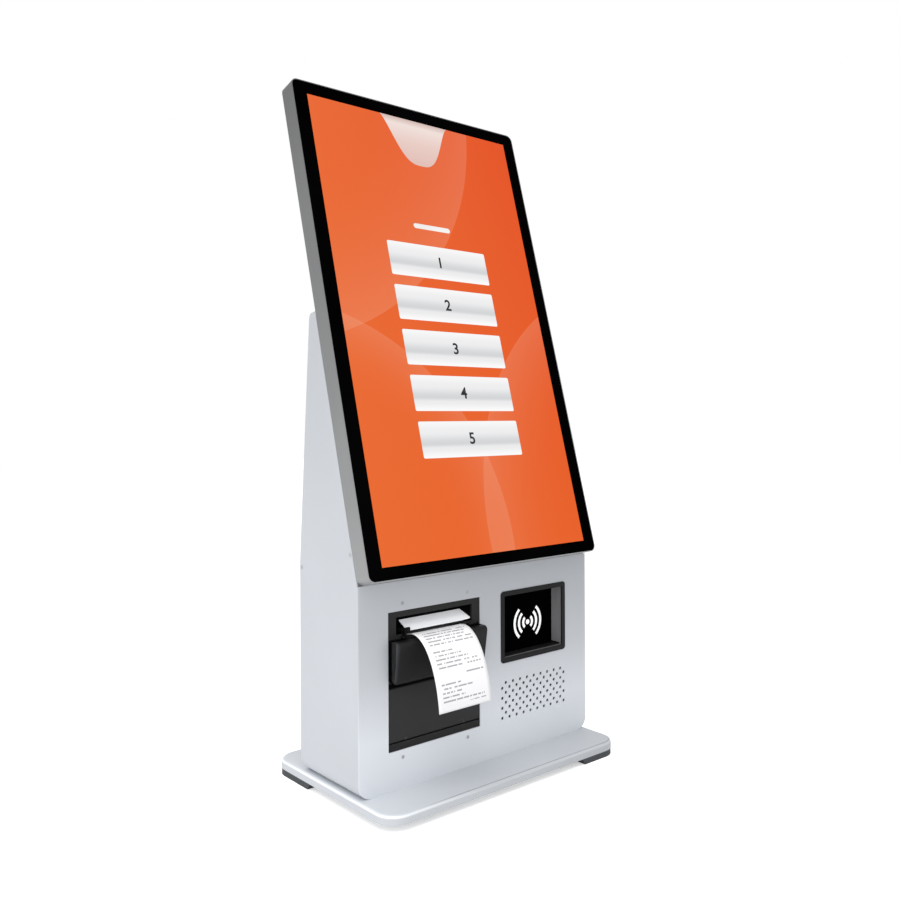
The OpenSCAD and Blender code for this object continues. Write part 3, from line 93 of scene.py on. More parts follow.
# builds one material's nodes with short calls
class Finish:

    def __init__(self, name):
        self.material = bpy.data.materials.new(name)
        self.material.use_nodes = True
        self.tree = self.material.node_tree
        self.shader = self.tree.nodes["Principled BSDF"]
        self.spot = self.add("ShaderNodeTexCoord").outputs["Object"]

    def add(self, kind, **settings):
        node = self.tree.nodes.new(kind)
        for key, value in settings.items():
            setattr(node, key, value)
        return node

    def join(self, source, target):
        self.tree.links.new(source, target)

    # a socket's own value, or a link where the value is another node's output
    def put(self, socket, value):
        if hasattr(value, "links"):
            self.join(value, socket)
        else:
            socket.default_value = value

    def split(self, vector):
        node = self.add("ShaderNodeSeparateXYZ")
        self.join(vector, node.inputs[0])
        return [node.outputs[axis] for axis in "XYZ"]

    def compute(self, operation, *values):
        node = self.add("ShaderNodeMath", operation=operation)
        for socket, value in zip(node.inputs, values):
            self.put(socket, value)
        return node.outputs[0]

    def times(self, first, *others):
        product = first
        for value in others:
            product = self.compute("MULTIPLY", product, value)
        return product

    def above(self, value, limit):
        return self.compute("GREATER_THAN", value, limit)

    def below(self, value, limit):
        return self.compute("LESS_THAN", value, limit)

    def mapped(self, kind, **values):
        node = self.add("ShaderNodeMapping", vector_type=kind)
        self.join(self.spot, node.inputs["Vector"])
        for name, value in values.items():
            node.inputs[name].default_value = value
        return node.outputs["Vector"]

    def noise(self, scale, detail=fineDetail, stretch=(1, 1, 1)):
        node = self.add("ShaderNodeTexNoise")
        self.join(self.mapped("POINT", Scale=stretch), node.inputs["Vector"])
        node.inputs["Scale"].default_value = scale
        node.inputs["Detail"].default_value = detail
        return node.outputs["Fac"]

    # an even random value for each row, or for each cell of a row
    def chance(self, row, column=None):
        node = self.add("ShaderNodeTexWhiteNoise", noise_dimensions="1D" if column is None else "2D")
        if column is None:
            self.join(row, node.inputs["W"])
        else:
            cell = self.add("ShaderNodeCombineXYZ")
            self.join(column, cell.inputs["X"])
            self.join(row, cell.inputs["Y"])
            self.join(cell.outputs[0], node.inputs["Vector"])
        return node.outputs["Value"]

    def ramp(self, value, stops, ease="LINEAR"):
        node = self.add("ShaderNodeValToRGB")
        node.color_ramp.interpolation = ease
        while len(node.color_ramp.elements) < len(stops):
            node.color_ramp.elements.new(0.5)
        for element, (place, colour) in zip(node.color_ramp.elements, stops):
            element.position, element.color = place, (*colour, 1)
        self.join(value, node.inputs["Fac"])
        return node.outputs["Color"]

    def greys(self, value, stops):
        return self.ramp(value, [(place, (tone, tone, tone)) for place, tone in stops])

    # two near colours that drift into each other with the noise
    def drift(self, noise, first, second):
        return self.ramp(noise, tuple(zip(noiseSpan, (first, second))))

    def between(self, value, low, high, start=0.0, end=1.0):
        node = self.add("ShaderNodeMapRange")
        self.put(node.inputs["Value"], value)
        for name, number in (("From Min", start), ("From Max", end), ("To Min", low), ("To Max", high)):
            node.inputs[name].default_value = number
        return node.outputs["Result"]

    # zero before the first value, one after the second
    def rise(self, value, start, end):
        return self.between(value, 0.0, 1.0, start, end)

    # one within a band of values, falling to nothing over its two borders
    def band(self, value, start, full, still, end):
        return self.times(self.rise(value, start, full), self.between(value, 1.0, 0.0, still, end))

    # on a Mix node the colours go in at sockets 6 and 7 and come out at socket 2
    def mix(self, share, first, second):
        node = self.add("ShaderNodeMix", data_type="RGBA")
        self.put(node.inputs[0], share)
        for socket, colour in ((node.inputs[6], first), (node.inputs[7], second)):
            self.put(socket, colour if hasattr(colour, "links") else (*colour, 1))
        return node.outputs[2]

    def shade(self, colour, share):
        node = self.add("ShaderNodeMix", data_type="RGBA", blend_type="MULTIPLY")
        node.inputs[0].default_value = 1.0
        self.join(colour, node.inputs[6])
        self.join(share, node.inputs[7])
        return node.outputs[2]

    def set(self, values):
        for name, value in values.items():
            socket = self.shader.inputs[name]
            self.put(socket, (*value, 1) if isinstance(value, tuple) and len(value) == 3 else value)

    def glow(self, colour, strength=1.0):
        self.set({"Emission Color": colour, "Emission Strength": strength})

    def bump(self, height, strength, depth):
        node = self.add("ShaderNodeBump")
        self.join(height, node.inputs["Height"])
        node.inputs["Strength"].default_value = strength
        node.inputs["Distance"].default_value = depth
        self.join(node.outputs["Normal"], self.shader.inputs["Normal"])

    # fine grain: gloss that wanders between two values, and shallow bumps
    def grained(self, scale, gloss, strength, depth, stretch=(1, 1, 1)):
        fine = self.noise(scale, stretch=stretch)
        self.set({"Roughness": self.between(fine, *gloss, *noiseSpan)})
        self.bump(fine, strength, depth)
        return fine


def tint(colour, factor):
    return tuple(min(1.0, c * factor) for c in colour)


# the recipe most finishes share: a slow drift of colour, fine grain with a gloss that wanders round its
# middle value, and where given painted light and shade: a slow change of tone with height in metres, or from
# the left end to the right
def solidFinish(name, colour, rough=0.5, wander=0.06, grain=900, bump=0.1, depth=0.12 * mm, drift=0.05,
                metal=0.0, specular=0.5, cloud=6, stretch=(1, 1, 1), paintedShadeHeights=(), ends=()):
    finish = Finish(name)
    across, _, height = finish.split(finish.spot)
    tone = finish.drift(finish.noise(cloud, cloudDetail), tint(colour, 1 - drift), tint(colour, 1 + drift))
    # painted shade that changes with height, and painted light that fades from the left end to the right
    if paintedShadeHeights:
        tone = finish.shade(tone, finish.greys(height, paintedShadeHeights))
    if ends:
        tone = finish.shade(tone, finish.between(across, *ends, -halfWidth, halfWidth))
    finish.set({"Base Color": tone, "Metallic": metal, "Specular IOR Level": specular})
    finish.grained(grain, (rough - wander, rough + wander), bump, depth, stretch)
    return finish.material


# the pale coat on the pedestal's shell and front panel, with painted shade by height on both and painted
# light from the left on the panel
coat = {"colour": (0.66, 0.69, 0.735), "rough": 0.42, "grain": 520, "bump": 0.12, "depth": 0.15 * mm,
        "specular": 0.4}
solidLooks = {
    "shellPaint": {**coat, "drift": 0.02, "cloud": 7,
                   "paintedShadeHeights": ((0.02, 0.82), (0.12, 0.84), (0.35, 0.79), (0.52, 0.71), (0.86, 0.62))},
    "panelPaint": {**coat, "drift": 0.015, "cloud": 4, "ends": (1.04, 0.93),
                   "paintedShadeHeights": ((0.02, 1.03), (0.08, 1.05), (0.15, 0.80), (0.21, 0.68), (0.28, 0.65))},
    "greyScrew": {"colour": (0.34, 0.34, 0.35), "rough": 0.4, "grain": 1500, "drift": 0.15, "cloud": 80,
                  "metal": 0.3},
    "greySheet": {"colour": (0.30, 0.305, 0.31), "grain": 700, "bump": 0.15, "drift": 0.08},
    "footRubber": {"colour": (0.050, 0.056, 0.062), "rough": 0.72, "grain": 1400, "bump": 0.3, "drift": 0.15},
    "zincSteel": {"colour": (0.56, 0.57, 0.58), "rough": 0.32, "grain": 1500, "bump": 0.05, "metal": 1.0,
                  "drift": 0.08, "cloud": 60},
    # the frame's alloy darkens towards its top with painted shade
    "frameAlloy": {"colour": (0.36, 0.365, 0.37), "rough": 0.42, "grain": 1300, "bump": 0.05, "metal": 0.35,
                   "stretch": (1, 1, 0.04), "paintedShadeHeights": ((0.27, 0.92), (0.55, 0.58), (0.87, 0.37))},
    "headAlloy": {"colour": (0.62, 0.63, 0.64), "rough": 0.38, "bump": 0.08, "metal": 0.9,
                  "stretch": (0.05, 1, 1)},
    "darkSheet": {"colour": (0.020, 0.020, 0.022), "rough": 0.55, "grain": 700, "bump": 0.2, "drift": 0.12},
    "charcoalPlastic": {"colour": (0.050, 0.051, 0.053), "grain": 1500, "bump": 0.25, "drift": 0.08,
                        "specular": 0.35},
    "blackPlastic": {"colour": (0.016, 0.0165, 0.018), "rough": 0.4, "grain": 1500, "bump": 0.2,
                     "drift": 0.1, "specular": 0.35},
    "leverPlastic": {"colour": (0.004, 0.004, 0.0045), "grain": 1500, "bump": 0.2, "drift": 0.1,
                     "specular": 0.1},
    "reelNylon": {"colour": (0.72, 0.72, 0.66), "rough": 0.45, "grain": 800, "bump": 0.08},
    "platenRubber": {"colour": (0.022, 0.022, 0.023), "rough": 0.6, "grain": 2200, "bump": 0.2,
                     "stretch": (0.1, 1, 1)},
    "conePaper": {"colour": (0.018, 0.018, 0.018), "rough": 0.85, "grain": 600, "bump": 0.5, "drift": 0.2},
    "plainPaper": {"colour": (0.90, 0.90, 0.89), "rough": 0.75, "grain": 1800, "bump": 0.15, "drift": 0.01},
    "lockChrome": {"colour": (0.72, 0.73, 0.74), "rough": 0.12, "grain": 400, "bump": 0.02, "metal": 1.0},
    "lcdBack": {"colour": (0.02, 0.02, 0.02), "rough": 0.4, "grain": 400, "bump": 0.05},
    # grey foam, its tone painted shade under the display's frame
    "sealFoamShade": {"colour": (0.16, 0.16, 0.165), "rough": 0.9, "grain": 2500, "bump": 0.6, "drift": 0.1,
                 "specular": 0.1},
    # near-black felt, its tone painted shade for the dark inside the rear door
    "filterFeltShade": {"colour": (0.022, 0.022, 0.023), "rough": 0.9, "grain": 2200, "bump": 0.7, "drift": 0.15,
                   "specular": 0.1},
}
solid = {name: solidFinish(name, **look) for name, look in solidLooks.items()}

guideLook = {
    "scale": 14, "stretch": (1, 0.2, 0.2), "dull": (0.84, 0.86, 0.89), "bright": (0.95, 0.95, 0.96),
    "gloss": (0.18, 0.30), "paintedGlow": (0.96, 0.97, 1.0), "strength": 0.30, "bump": 0.2, "depth": 0.6 * mm,
}


# the light guide over the paper slot, with a soft painted glow
def guidePaintedGlow():
    look = guideLook
    finish = Finish("guidePaintedGlow")
    waves = finish.noise(look["scale"], cloudDetail, stretch=look["stretch"])
    finish.set({"Base Color": finish.drift(waves, look["dull"], look["bright"]),
                "Roughness": finish.between(waves, *look["gloss"], *noiseSpan)})
    # the soft painted glow that brightens the guide
    finish.glow(look["paintedGlow"], look["strength"])
    finish.bump(waves, look["bump"], look["depth"])
    return finish.material


plateLook = {
    "cloud": 5,
    "dull": (0.591, 0.616, 0.650),
    "bright": (0.609, 0.634, 0.670),
    # painted light paler towards the left end, painted shade on the side face, a painted highlight on the
    # rounded rim and a thin painted shadow line along the rim's top
    "ends": (1.12, 0.84, -halfWidth, halfWidth),
    "side": (0.84, 1.0, 15.0 * mm, 16.5 * mm),
    "rim": (15.8 * mm, 16.4 * mm, 17.6 * mm, 18.3 * mm),
    "rimHighlightEnds": (1.50, 0.88, -halfWidth, -0.3 * halfWidth),
    "rimShadeLine": (18.2 * mm, 18.4 * mm, 18.8 * mm, 18.9 * mm),
    "rimShadeStart": (-0.8 * halfWidth, -0.5 * halfWidth),
    "rimShadeTone": (0.33, 0.35, 0.37),
    "grain": {"scale": 400, "gloss": (0.34, 0.46), "strength": 0.02, "depth": 0.1 * mm},
}


# the base plate, with painted light and shade: paler towards its left end, a painted highlight on its rounded
# rim there, painted shade on its side face, and a thin painted shadow line along the rim on the right
def basePaint():
    look = plateLook
    finish = Finish("basePaint")
    across, _, height = finish.split(finish.spot)
    tone = finish.drift(finish.noise(look["cloud"], cloudDetail), look["dull"], look["bright"])
    rim = finish.shade(tone, finish.between(across, *look["rimHighlightEnds"]))
    tone = finish.shade(tone, finish.between(across, *look["ends"]))
    tone = finish.shade(tone, finish.between(height, *look["side"]))
    tone = finish.mix(finish.band(height, *look["rim"]), tone, rim)
    # the thin painted shadow line along the rim's top, towards the right
    rimShadeLine = finish.times(finish.band(height, *look["rimShadeLine"]), finish.rise(across, *look["rimShadeStart"]))
    finish.set({"Base Color": finish.mix(rimShadeLine, tone, look["rimShadeTone"])})
    finish.grained(**look["grain"])
    return finish.material


hood = {
    "face": -67.0 * mm,      # the front panel's face, from which the hood stands out
    "foot": 143.0 * mm,
    "left": -146.6 * mm,
    "cloud": 6,
    "dull": (0.0165, 0.017, 0.018),
    "bright": (0.0205, 0.021, 0.0225),
    # painted shade by height: the hood darker than the door below it, darkest at its lower rounding
    "shades": ((0.1425, 1.0), (0.1432, 0.18), (0.150, 0.24), (0.180, 0.23), (0.194, 0.27)),
    # a painted highlight along the hood's left edge
    "edge": 5.0 * mm,
    "edgeFoot": 8.0 * mm,
    "edgeTone": (0.046, 0.047, 0.050),
    # a painted black shadow round the hood's root
    "rootShadowWidth": 5.0 * mm,
    "rootShadowTone": (0.001, 0.001, 0.001),
    "soft": 1.0 * mm,        # over this way the painted black shadow at the hood's root fades out
    "gap": 0.3 * mm,
    "lip": 0.5 * mm,
    "specular": (0.27, 0.02),
    "grain": {"scale": 1500, "gloss": (0.40, 0.52), "strength": 0.2, "depth": 0.12 * mm},
}


# the printer's door: charcoal, with painted shade darker on its hood, a painted highlight paler along the
# hood's left edge, and a painted black shadow round the hood's root
def doorCharcoal():
    finish = Finish("doorCharcoal")
    across, rearward, height = finish.split(finish.spot)
    face, foot, left = hood["face"], hood["foot"], hood["left"]
    outer, lower = face - hood["rootShadowWidth"], foot - hood["rootShadowWidth"]
    # the painted black shadow beside and under the hood's root
    beside = finish.times(finish.below(rearward, face - hood["gap"]),
                          finish.rise(rearward, outer - hood["soft"], outer))
    under = finish.times(finish.rise(height, lower - 2 * hood["soft"], lower),
                         finish.below(height, foot + hood["lip"]))
    rootShadow = finish.compute("MAXIMUM", beside, under)
    # the painted highlight along the hood's left edge
    edge = finish.times(finish.between(across, 1.0, 0.0, left, left + hood["edge"]),
                        finish.above(across, left), finish.rise(height, foot, foot + hood["edgeFoot"]),
                        finish.below(rearward, face))
    tone = finish.drift(finish.noise(hood["cloud"], cloudDetail), hood["dull"], hood["bright"])
    tone = finish.shade(tone, finish.greys(height, hood["shades"]))
    tone = finish.mix(edge, tone, hood["edgeTone"])
    finish.set({"Base Color": finish.mix(rootShadow, tone, hood["rootShadowTone"]),
                "Specular IOR Level": finish.between(rootShadow, *hood["specular"])})
    finish.grained(**hood["grain"])
    return finish.material


mouthLook = {
    "cloud": 6,
    "dull": (0.021, 0.0215, 0.0225),
    "bright": (0.026, 0.0265, 0.0275),
    # painted shade by height
    "shades": ((0.072, 0.50), (0.078, 0.95), (0.145, 0.85), (0.165, 0.62)),
    "inward": (-65.6 * mm, -63.0 * mm),
    "hollowFoot": 190.0 * mm,
    "hollowShadeTone": (0.0012, 0.0012, 0.0013),
    "specular": (0.22, 0.02),
    "grain": {"scale": 1500, "gloss": (0.45, 0.56), "strength": 0.25, "depth": 0.12 * mm},
}


# the printer's frame: charcoal on its face, with painted shade by height, darkest on the strip below the door
# and towards the top, and painted shade darkening into the mouth's hollow
def mouthCharcoal():
    look = mouthLook
    finish = Finish("mouthCharcoal")
    _, rearward, height = finish.split(finish.spot)
    # painted shade in the mouth's hollow
    hollow = finish.times(finish.rise(rearward, *look["inward"]), finish.above(height, look["hollowFoot"]))
    tone = finish.drift(finish.noise(look["cloud"], cloudDetail), look["dull"], look["bright"])
    tone = finish.shade(tone, finish.greys(height, look["shades"]))
    finish.set({"Base Color": finish.mix(hollow, tone, look["hollowShadeTone"]),
                "Specular IOR Level": finish.between(hollow, *look["specular"])})
    finish.grained(**look["grain"])
    return finish.material


readerLook = {
    "deep": (1.6 * mm, 2.4 * mm),
    "wallStart": 4.0 * mm,
    "wallShare": 0.55,
    "sill": 9.0 * mm,
    "sillStart": 5.0 * mm,
    "rim": ((0.005, 0.005, 0.0055), (0.008, 0.008, 0.0085)),
    # painted light on the pocket's walls, paler deeper in, and painted shade on its sill
    "wall": ((0.11, 0.11, 0.113), (0.26, 0.26, 0.27)),
    "sillShadeTone": (0.010, 0.010, 0.011),
    "specular": 0.2,
    "grain": {"scale": 1500, "gloss": (0.42, 0.54), "strength": 0.25, "depth": 0.12 * mm},
}


# the reader's bezel: nearly black on its rim, with painted light making the walls of the pocket paler, and
# painted shade on its sill
def readerCharcoal():
    look = readerLook
    finish = Finish("readerCharcoal")
    low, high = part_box("reader_bezel")
    _, rearward, height = finish.split(finish.spot)
    deep = finish.rise(rearward, *(low[1] + step for step in look["deep"]))
    wall = finish.between(rearward, look["wallShare"], 1.0, low[1] + look["wallStart"], high[1])
    sill = finish.times(finish.below(height, low[2] + look["sill"]),
                        finish.above(rearward, low[1] + look["sillStart"]))
    inner = finish.mix(sill, finish.mix(wall, *look["wall"]), look["sillShadeTone"])
    fine = finish.grained(**look["grain"])
    finish.set({"Base Color": finish.mix(deep, finish.drift(fine, *look["rim"]), inner),
                "Specular IOR Level": look["specular"]})
    return finish.material


boardLook = {"cells": 160, "line": 0.05, "mask": (0.012, 0.085, 0.040), "copper": (0.03, 0.15, 0.075),
             "rough": 0.32, "bump": 0.3, "depth": 0.06 * mm}


# green solder mask with paler copper tracks round its cells
def circuitBoard():
    look = boardLook
    finish = Finish("circuitBoard")
    tracks = finish.add("ShaderNodeTexVoronoi", feature="DISTANCE_TO_EDGE")
    finish.join(finish.spot, tracks.inputs["Vector"])
    tracks.inputs["Scale"].default_value = look["cells"]
    lines = finish.below(tracks.outputs["Distance"], look["line"])
    finish.set({"Base Color": finish.mix(lines, look["mask"], look["copper"]), "Roughness": look["rough"]})
    finish.bump(lines, look["bump"], look["depth"])
    return finish.material


glassLook = {
    "film": {"scale": 9, "detail": 4},
    "tones": ((0.35, (0.0006, 0.0006, 0.0008)), (0.75, (0.0016, 0.0016, 0.0020))),
    "wander": (-0.03, 0.05),
    "span": (0.35, 0.7),
}


# back-painted glass with a faint cloth-wiped film
def blackGlass(name, rough):
    look = glassLook
    finish = Finish(name)
    film = finish.noise(**look["film"])
    gloss = [rough + step for step in look["wander"]]
    finish.set({"Base Color": finish.ramp(film, look["tones"]), "Specular IOR Level": 0.0,
                "Roughness": finish.between(film, *gloss, *look["span"])})
    return finish.material


slotFinish = {
    "pale_paint": solid["shellPaint"], "foot_rubber": solid["footRubber"], "zinc_steel": solid["zincSteel"],
    "frame_alloy": solid["frameAlloy"], "lcd_black": solid["lcdBack"], "dark_sheet": solid["darkSheet"],
    "charcoal_plastic": solid["charcoalPlastic"], "black_plastic": solid["blackPlastic"],
    "milky_plastic": guidePaintedGlow(), "head_alloy": solid["headAlloy"], "nylon": solid["reelNylon"],
    "platen_rubber": solid["platenRubber"], "paper": solid["plainPaper"], "cone_paper": solid["conePaper"],
    "lock_chrome": solid["lockChrome"], "circuit_board": circuitBoard(),
    "screen_glass": blackGlass("borderGlass", 0.12), "black_glass": blackGlass("windowGlass", 0.06),
}
nodeFinish = {
    "printer_door": doorCharcoal(), "printer_bezel": mouthCharcoal(), "reader_bezel": readerCharcoal(),
    "base_plate": basePaint(), "front_panel": solid["panelPaint"], "release_lever": solid["leverPlastic"],
    "printer_screws": solid["greyScrew"], "display_tray": solid["greySheet"],
}
for entry in frame["record"]["subparts"]:
    cadObject = nodes[entry["node"]]
    cadObject.data.materials.clear()
    cadObject.data.materials.append(nodeFinish.get(entry["node"]) or slotFinish[entry["material_slot"]])
print("finishes on the CAD nodes")


# Pieces
def meshObject(name, points, faces, material):
    mesh = bpy.data.meshes.new(name)
    mesh.from_pydata(points, [], faces)
    mesh.materials.append(material)
    mesh.update()
    return bpy.data.objects.new(name, mesh)


def settle(piece, body):
    bpy.context.scene.collection.objects.link(piece)
    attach(piece, body)
    return piece


# the evaluated mesh of a piece as a plain mesh object, its modifiers left behind
def baked(maker, name):
    bpy.context.view_layer.update()
    graph = bpy.context.evaluated_depsgraph_get()
    mesh = bpy.data.meshes.new_from_object(maker.evaluated_get(graph))
    mesh.name = name
    bpy.data.objects.remove(maker)
    return bpy.data.objects.new(name, mesh)


# a Geometry Nodes tree with named inputs, built in short calls
class Tree:

    def __init__(self, name, inputs):
        self.group = bpy.data.node_groups.new(name, "GeometryNodeTree")
        sockets = self.group.interface
        sockets.new_socket("Geometry", in_out="OUTPUT", socket_type="NodeSocketGeometry")
        self.keys = {}
        for label, value in inputs.items():
            kind = "NodeSocketInt" if isinstance(value, int) else "NodeSocketFloat"
            socket = sockets.new_socket(label, in_out="INPUT", socket_type=kind)
            socket.default_value = value
            self.keys[label] = socket.identifier
        self.entry = self.group.nodes.new("NodeGroupInput")
        self.exit = self.group.nodes.new("NodeGroupOutput")
        self.values = dict(inputs)

    def add(self, kind, **settings):
        node = self.group.nodes.new(kind)
        for key, value in settings.items():
            setattr(node, key, value)
        return node

    def join(self, source, target):
        self.group.links.new(source, target)

    def feed(self, label, target):
        self.join(self.entry.outputs[label], target)

    # an input times a number
    def scaled(self, label, factor):
        node = self.add("ShaderNodeMath", operation="MULTIPLY")
        self.feed(label, node.inputs[0])
        node.inputs[1].default_value = factor
        return node.outputs[0]

    # a vector with one value on the axes that are named
    def along(self, axes, value):
        node = self.add("ShaderNodeCombineXYZ")
        for axis in axes:
            self.join(value, node.inputs[axis])
        return node.outputs[0]

    def copies(self, points, shape):
        node = self.add("GeometryNodeInstanceOnPoints")
        self.join(points, node.inputs["Points"])
        self.join(shape, node.inputs["Instance"])
        return node

    def finish(self, source, material, name):
        real = self.add("GeometryNodeRealizeInstances")
        coating = self.add("GeometryNodeSetMaterial")
        coating.inputs["Material"].default_value = material
        self.join(source, real.inputs[0])
        self.join(real.outputs[0], coating.inputs["Geometry"])
        self.join(coating.outputs["Geometry"], self.exit.inputs[0])
        maker = bpy.data.objects.new(name, bpy.data.meshes.new(name))
        bpy.context.scene.collection.objects.link(maker)
        modifier = maker.modifiers.new(name, "NODES")
        modifier.node_group = self.group
        for label, key in self.keys.items():
            modifier[key] = self.values[label]
        return baked(maker, name)


# Rubber strips: the two that are set back stand a little further in than the CAD's
strips = {"inset": 6.0 * mm}


def makeFeet():
    mesh = nodes["rubber_feet"].data.copy()
    mesh.name = "footStrips"
    inset = strips["inset"]
    for vertex in mesh.vertices:
        x, y, z = vertex.co
        if x * y > 0:
            vertex.co = (x - math.copysign(inset, x), y - math.copysign(inset, y), z)
    feet = settle(bpy.data.objects.new("footStrips", mesh), "housing")
    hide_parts("rubber_feet")


makeFeet()

# Foam seals that close the corners between the front panel and the leaning display; their grey is painted
# shade, for the soft shadow under the display's frame
cornerSeal = {"inner": 174.0 * mm, "outer": 187.3 * mm, "front": -65.4 * mm, "back": -63.9 * mm,
              "foot": 256.0 * mm, "top": 266.0 * mm, "roundSteps": 5}


def makeCornerSeals():
    seal = cornerSeal
    middle, reach = 0.5 * (seal["front"] + seal["back"]), 0.5 * (seal["back"] - seal["front"])
    section = [(seal["back"], seal["foot"]), (seal["front"], seal["foot"])]
    for i in range(seal["roundSteps"] + 1):
        angle = math.pi * (1 - i / seal["roundSteps"])
        section.append((middle + reach * math.cos(angle), seal["top"] - reach + reach * math.sin(angle)))
    n = len(section)
    for side, name in ((-1, "cornerSealLeft"), (1, "cornerSealRight")):
        ends = sorted((side * seal["inner"], side * seal["outer"]))
        points = [(x, y, z) for x in ends for y, z in section]
        faces = [tuple(range(n)), tuple(reversed(range(n, 2 * n)))]
        faces += [(i, i + n, (i + 1) % n + n, (i + 1) % n) for i in range(n)]
        settle(meshObject(name, points, faces, solid["sealFoamShade"]), "housing")


makeCornerSeals()

# Filter mats inside the rear door, behind its louvres, that stop light passing through; their near black is
# painted shade for the dark inside
louvreMat = {
    "spans": {"louvreMatLeft": (-141.0 * mm, -35.0 * mm), "louvreMatRight": (24.0 * mm, 130.0 * mm)},
    "foot": 111.0 * mm, "top": 200.0 * mm, "front": 59.6 * mm, "back": 60.85 * mm, "bevel": 0.5 * mm,
}


def makeLouvreMats():
    mat, bevel = louvreMat, louvreMat["bevel"]
    rings = ((mat["back"], 0.0), (mat["front"] + bevel, 0.0), (mat["front"], bevel))
    for name, (left, right) in mat["spans"].items():
        points = []
        for y, inset in rings:
            x0, x1, z0, z1 = left + inset, right - inset, mat["foot"] + inset, mat["top"] - inset
            points += [(x0, y, z0), (x1, y, z0), (x1, y, z1), (x0, y, z1)]
        faces = [(3, 2, 1, 0), (8, 9, 10, 11)]
        for ring in (0, 4):
            faces += [(ring + i, ring + (i + 1) % 4, ring + (i + 1) % 4 + 4, ring + i + 4) for i in range(4)]
        settle(meshObject(name, points, faces, solid["filterFeltShade"]), "rear_door")


makeLouvreMats()
print("strips, seals and mats in place")


# The lit picture, laid on the cover glass
display = {
    "foot": (0.0, -83.6 * mm, 283.0 * mm),   # the picture's lower edge, on the glass
    "tilt": 15.3,
    "width": 336.2 * mm,
    "height": 597.7 * mm,
    "lift": 0.12 * mm,                       # one layer of the picture above the next
    "rough": 0.35,
}
standing = math.radians(90 - display["tilt"])
onGlass = Matrix.Translation(display["foot"]) @ Matrix.Rotation(standing, 4, "X")


def layOnGlass(piece, layer):
    piece.data.transform(onGlass @ Matrix.Translation((0, 0, layer * display["lift"])))
    settle(piece, "housing")


# a finish that shines by itself: a black surface whose colour is all emission
def litFinish(name):
    finish = Finish(name)
    finish.set({"Base Color": (0.0, 0.0, 0.0), "Roughness": display["rough"], "Specular IOR Level": 0.0})
    local = finish.mapped("TEXTURE", Location=display["foot"], Rotation=(standing, 0, 0))
    finish.across, finish.up, _ = finish.split(local)
    return finish


picture = {
    "left": (0.823, 0.150, 0.042),
    "right": (0.787, 0.095, 0.025),
    "low": (0.830, 0.148, 0.028),
    "lowShare": 0.55,
    "crescents": (
        {"centre": (-0.30, 0.66), "radius": 0.40, "width": 0.20, "fade": 2.0},
        {"centre": (0.36, 0.02), "radius": 0.36, "width": 0.16, "fade": 2.4},
        {"centre": (-0.26, 0.02), "radius": 0.30, "width": 0.10, "fade": 2.2},
    ),
    "crescentTone": (1.0, 0.62, 0.42),
    "crescentShare": 0.12,
}


# a broad crescent: inside one circle, fading away from its edge
def crescent(finish, centre, radius, width, fade):
    aside = finish.compute("SUBTRACT", finish.across, centre[0])
    aloft = finish.compute("SUBTRACT", finish.up, centre[1])
    squares = finish.compute("ADD", finish.times(aside, aside), finish.times(aloft, aloft))
    away = finish.compute("SQRT", squares)
    glow = finish.compute("POWER", finish.rise(away, radius - width, radius), fade)
    return finish.times(finish.below(away, radius), glow)


def makePicture():
    finish = litFinish("screenPicture")
    half, top = 0.5 * display["width"], display["height"]
    colour = finish.mix(finish.rise(finish.across, -half, half), picture["left"], picture["right"])
    colour = finish.mix(finish.between(finish.up, picture["lowShare"], 0.0, 0.0, top), colour, picture["low"])
    for form in picture["crescents"]:
        share = finish.times(crescent(finish, **form), picture["crescentShare"])
        colour = finish.mix(share, colour, picture["crescentTone"])
    finish.glow(colour)
    corners = [(-half, 0, 0), (half, 0, 0), (half, top, 0), (-half, top, 0)]
    layOnGlass(meshObject("screenPicture", corners, [(0, 1, 2, 3)], finish.material), 1)


makePicture()

buttons = {
    "count": 5,
    "pitch": 60.2 * mm,
    "size": (166.0 * mm, 46.7 * mm),
    "corner": 2.2 * mm,
    "cornerSteps": 5,
    "topCentre": (1.0 * mm, 387.6 * mm),
    "shades": ((0.0, (0.94, 0.94, 0.94)), (0.28, (0.86, 0.86, 0.87)), (0.62, (0.66, 0.67, 0.68)),
               (0.74, (0.84, 0.84, 0.85)), (1.0, (0.97, 0.97, 0.97))),
    "figure": 21.0 * mm,
    "figureWeight": 0.45 * mm,
    "figureTones": ((0.030, 0.030, 0.032), (0.045, 0.045, 0.048)),
    "figureCloud": 30,
}


# silvery keys: pale at both edges, with a soft grey band below the middle
def buttonFinish():
    finish = litFinish("silverKeys")
    height = buttons["size"][1]
    fromTop = finish.compute("SUBTRACT", buttons["topCentre"][1] + 0.5 * height, finish.up)
    within = finish.compute("DIVIDE", finish.compute("MODULO", fromTop, buttons["pitch"]), height)
    finish.glow(finish.ramp(within, buttons["shades"], "EASE"))
    return finish.material


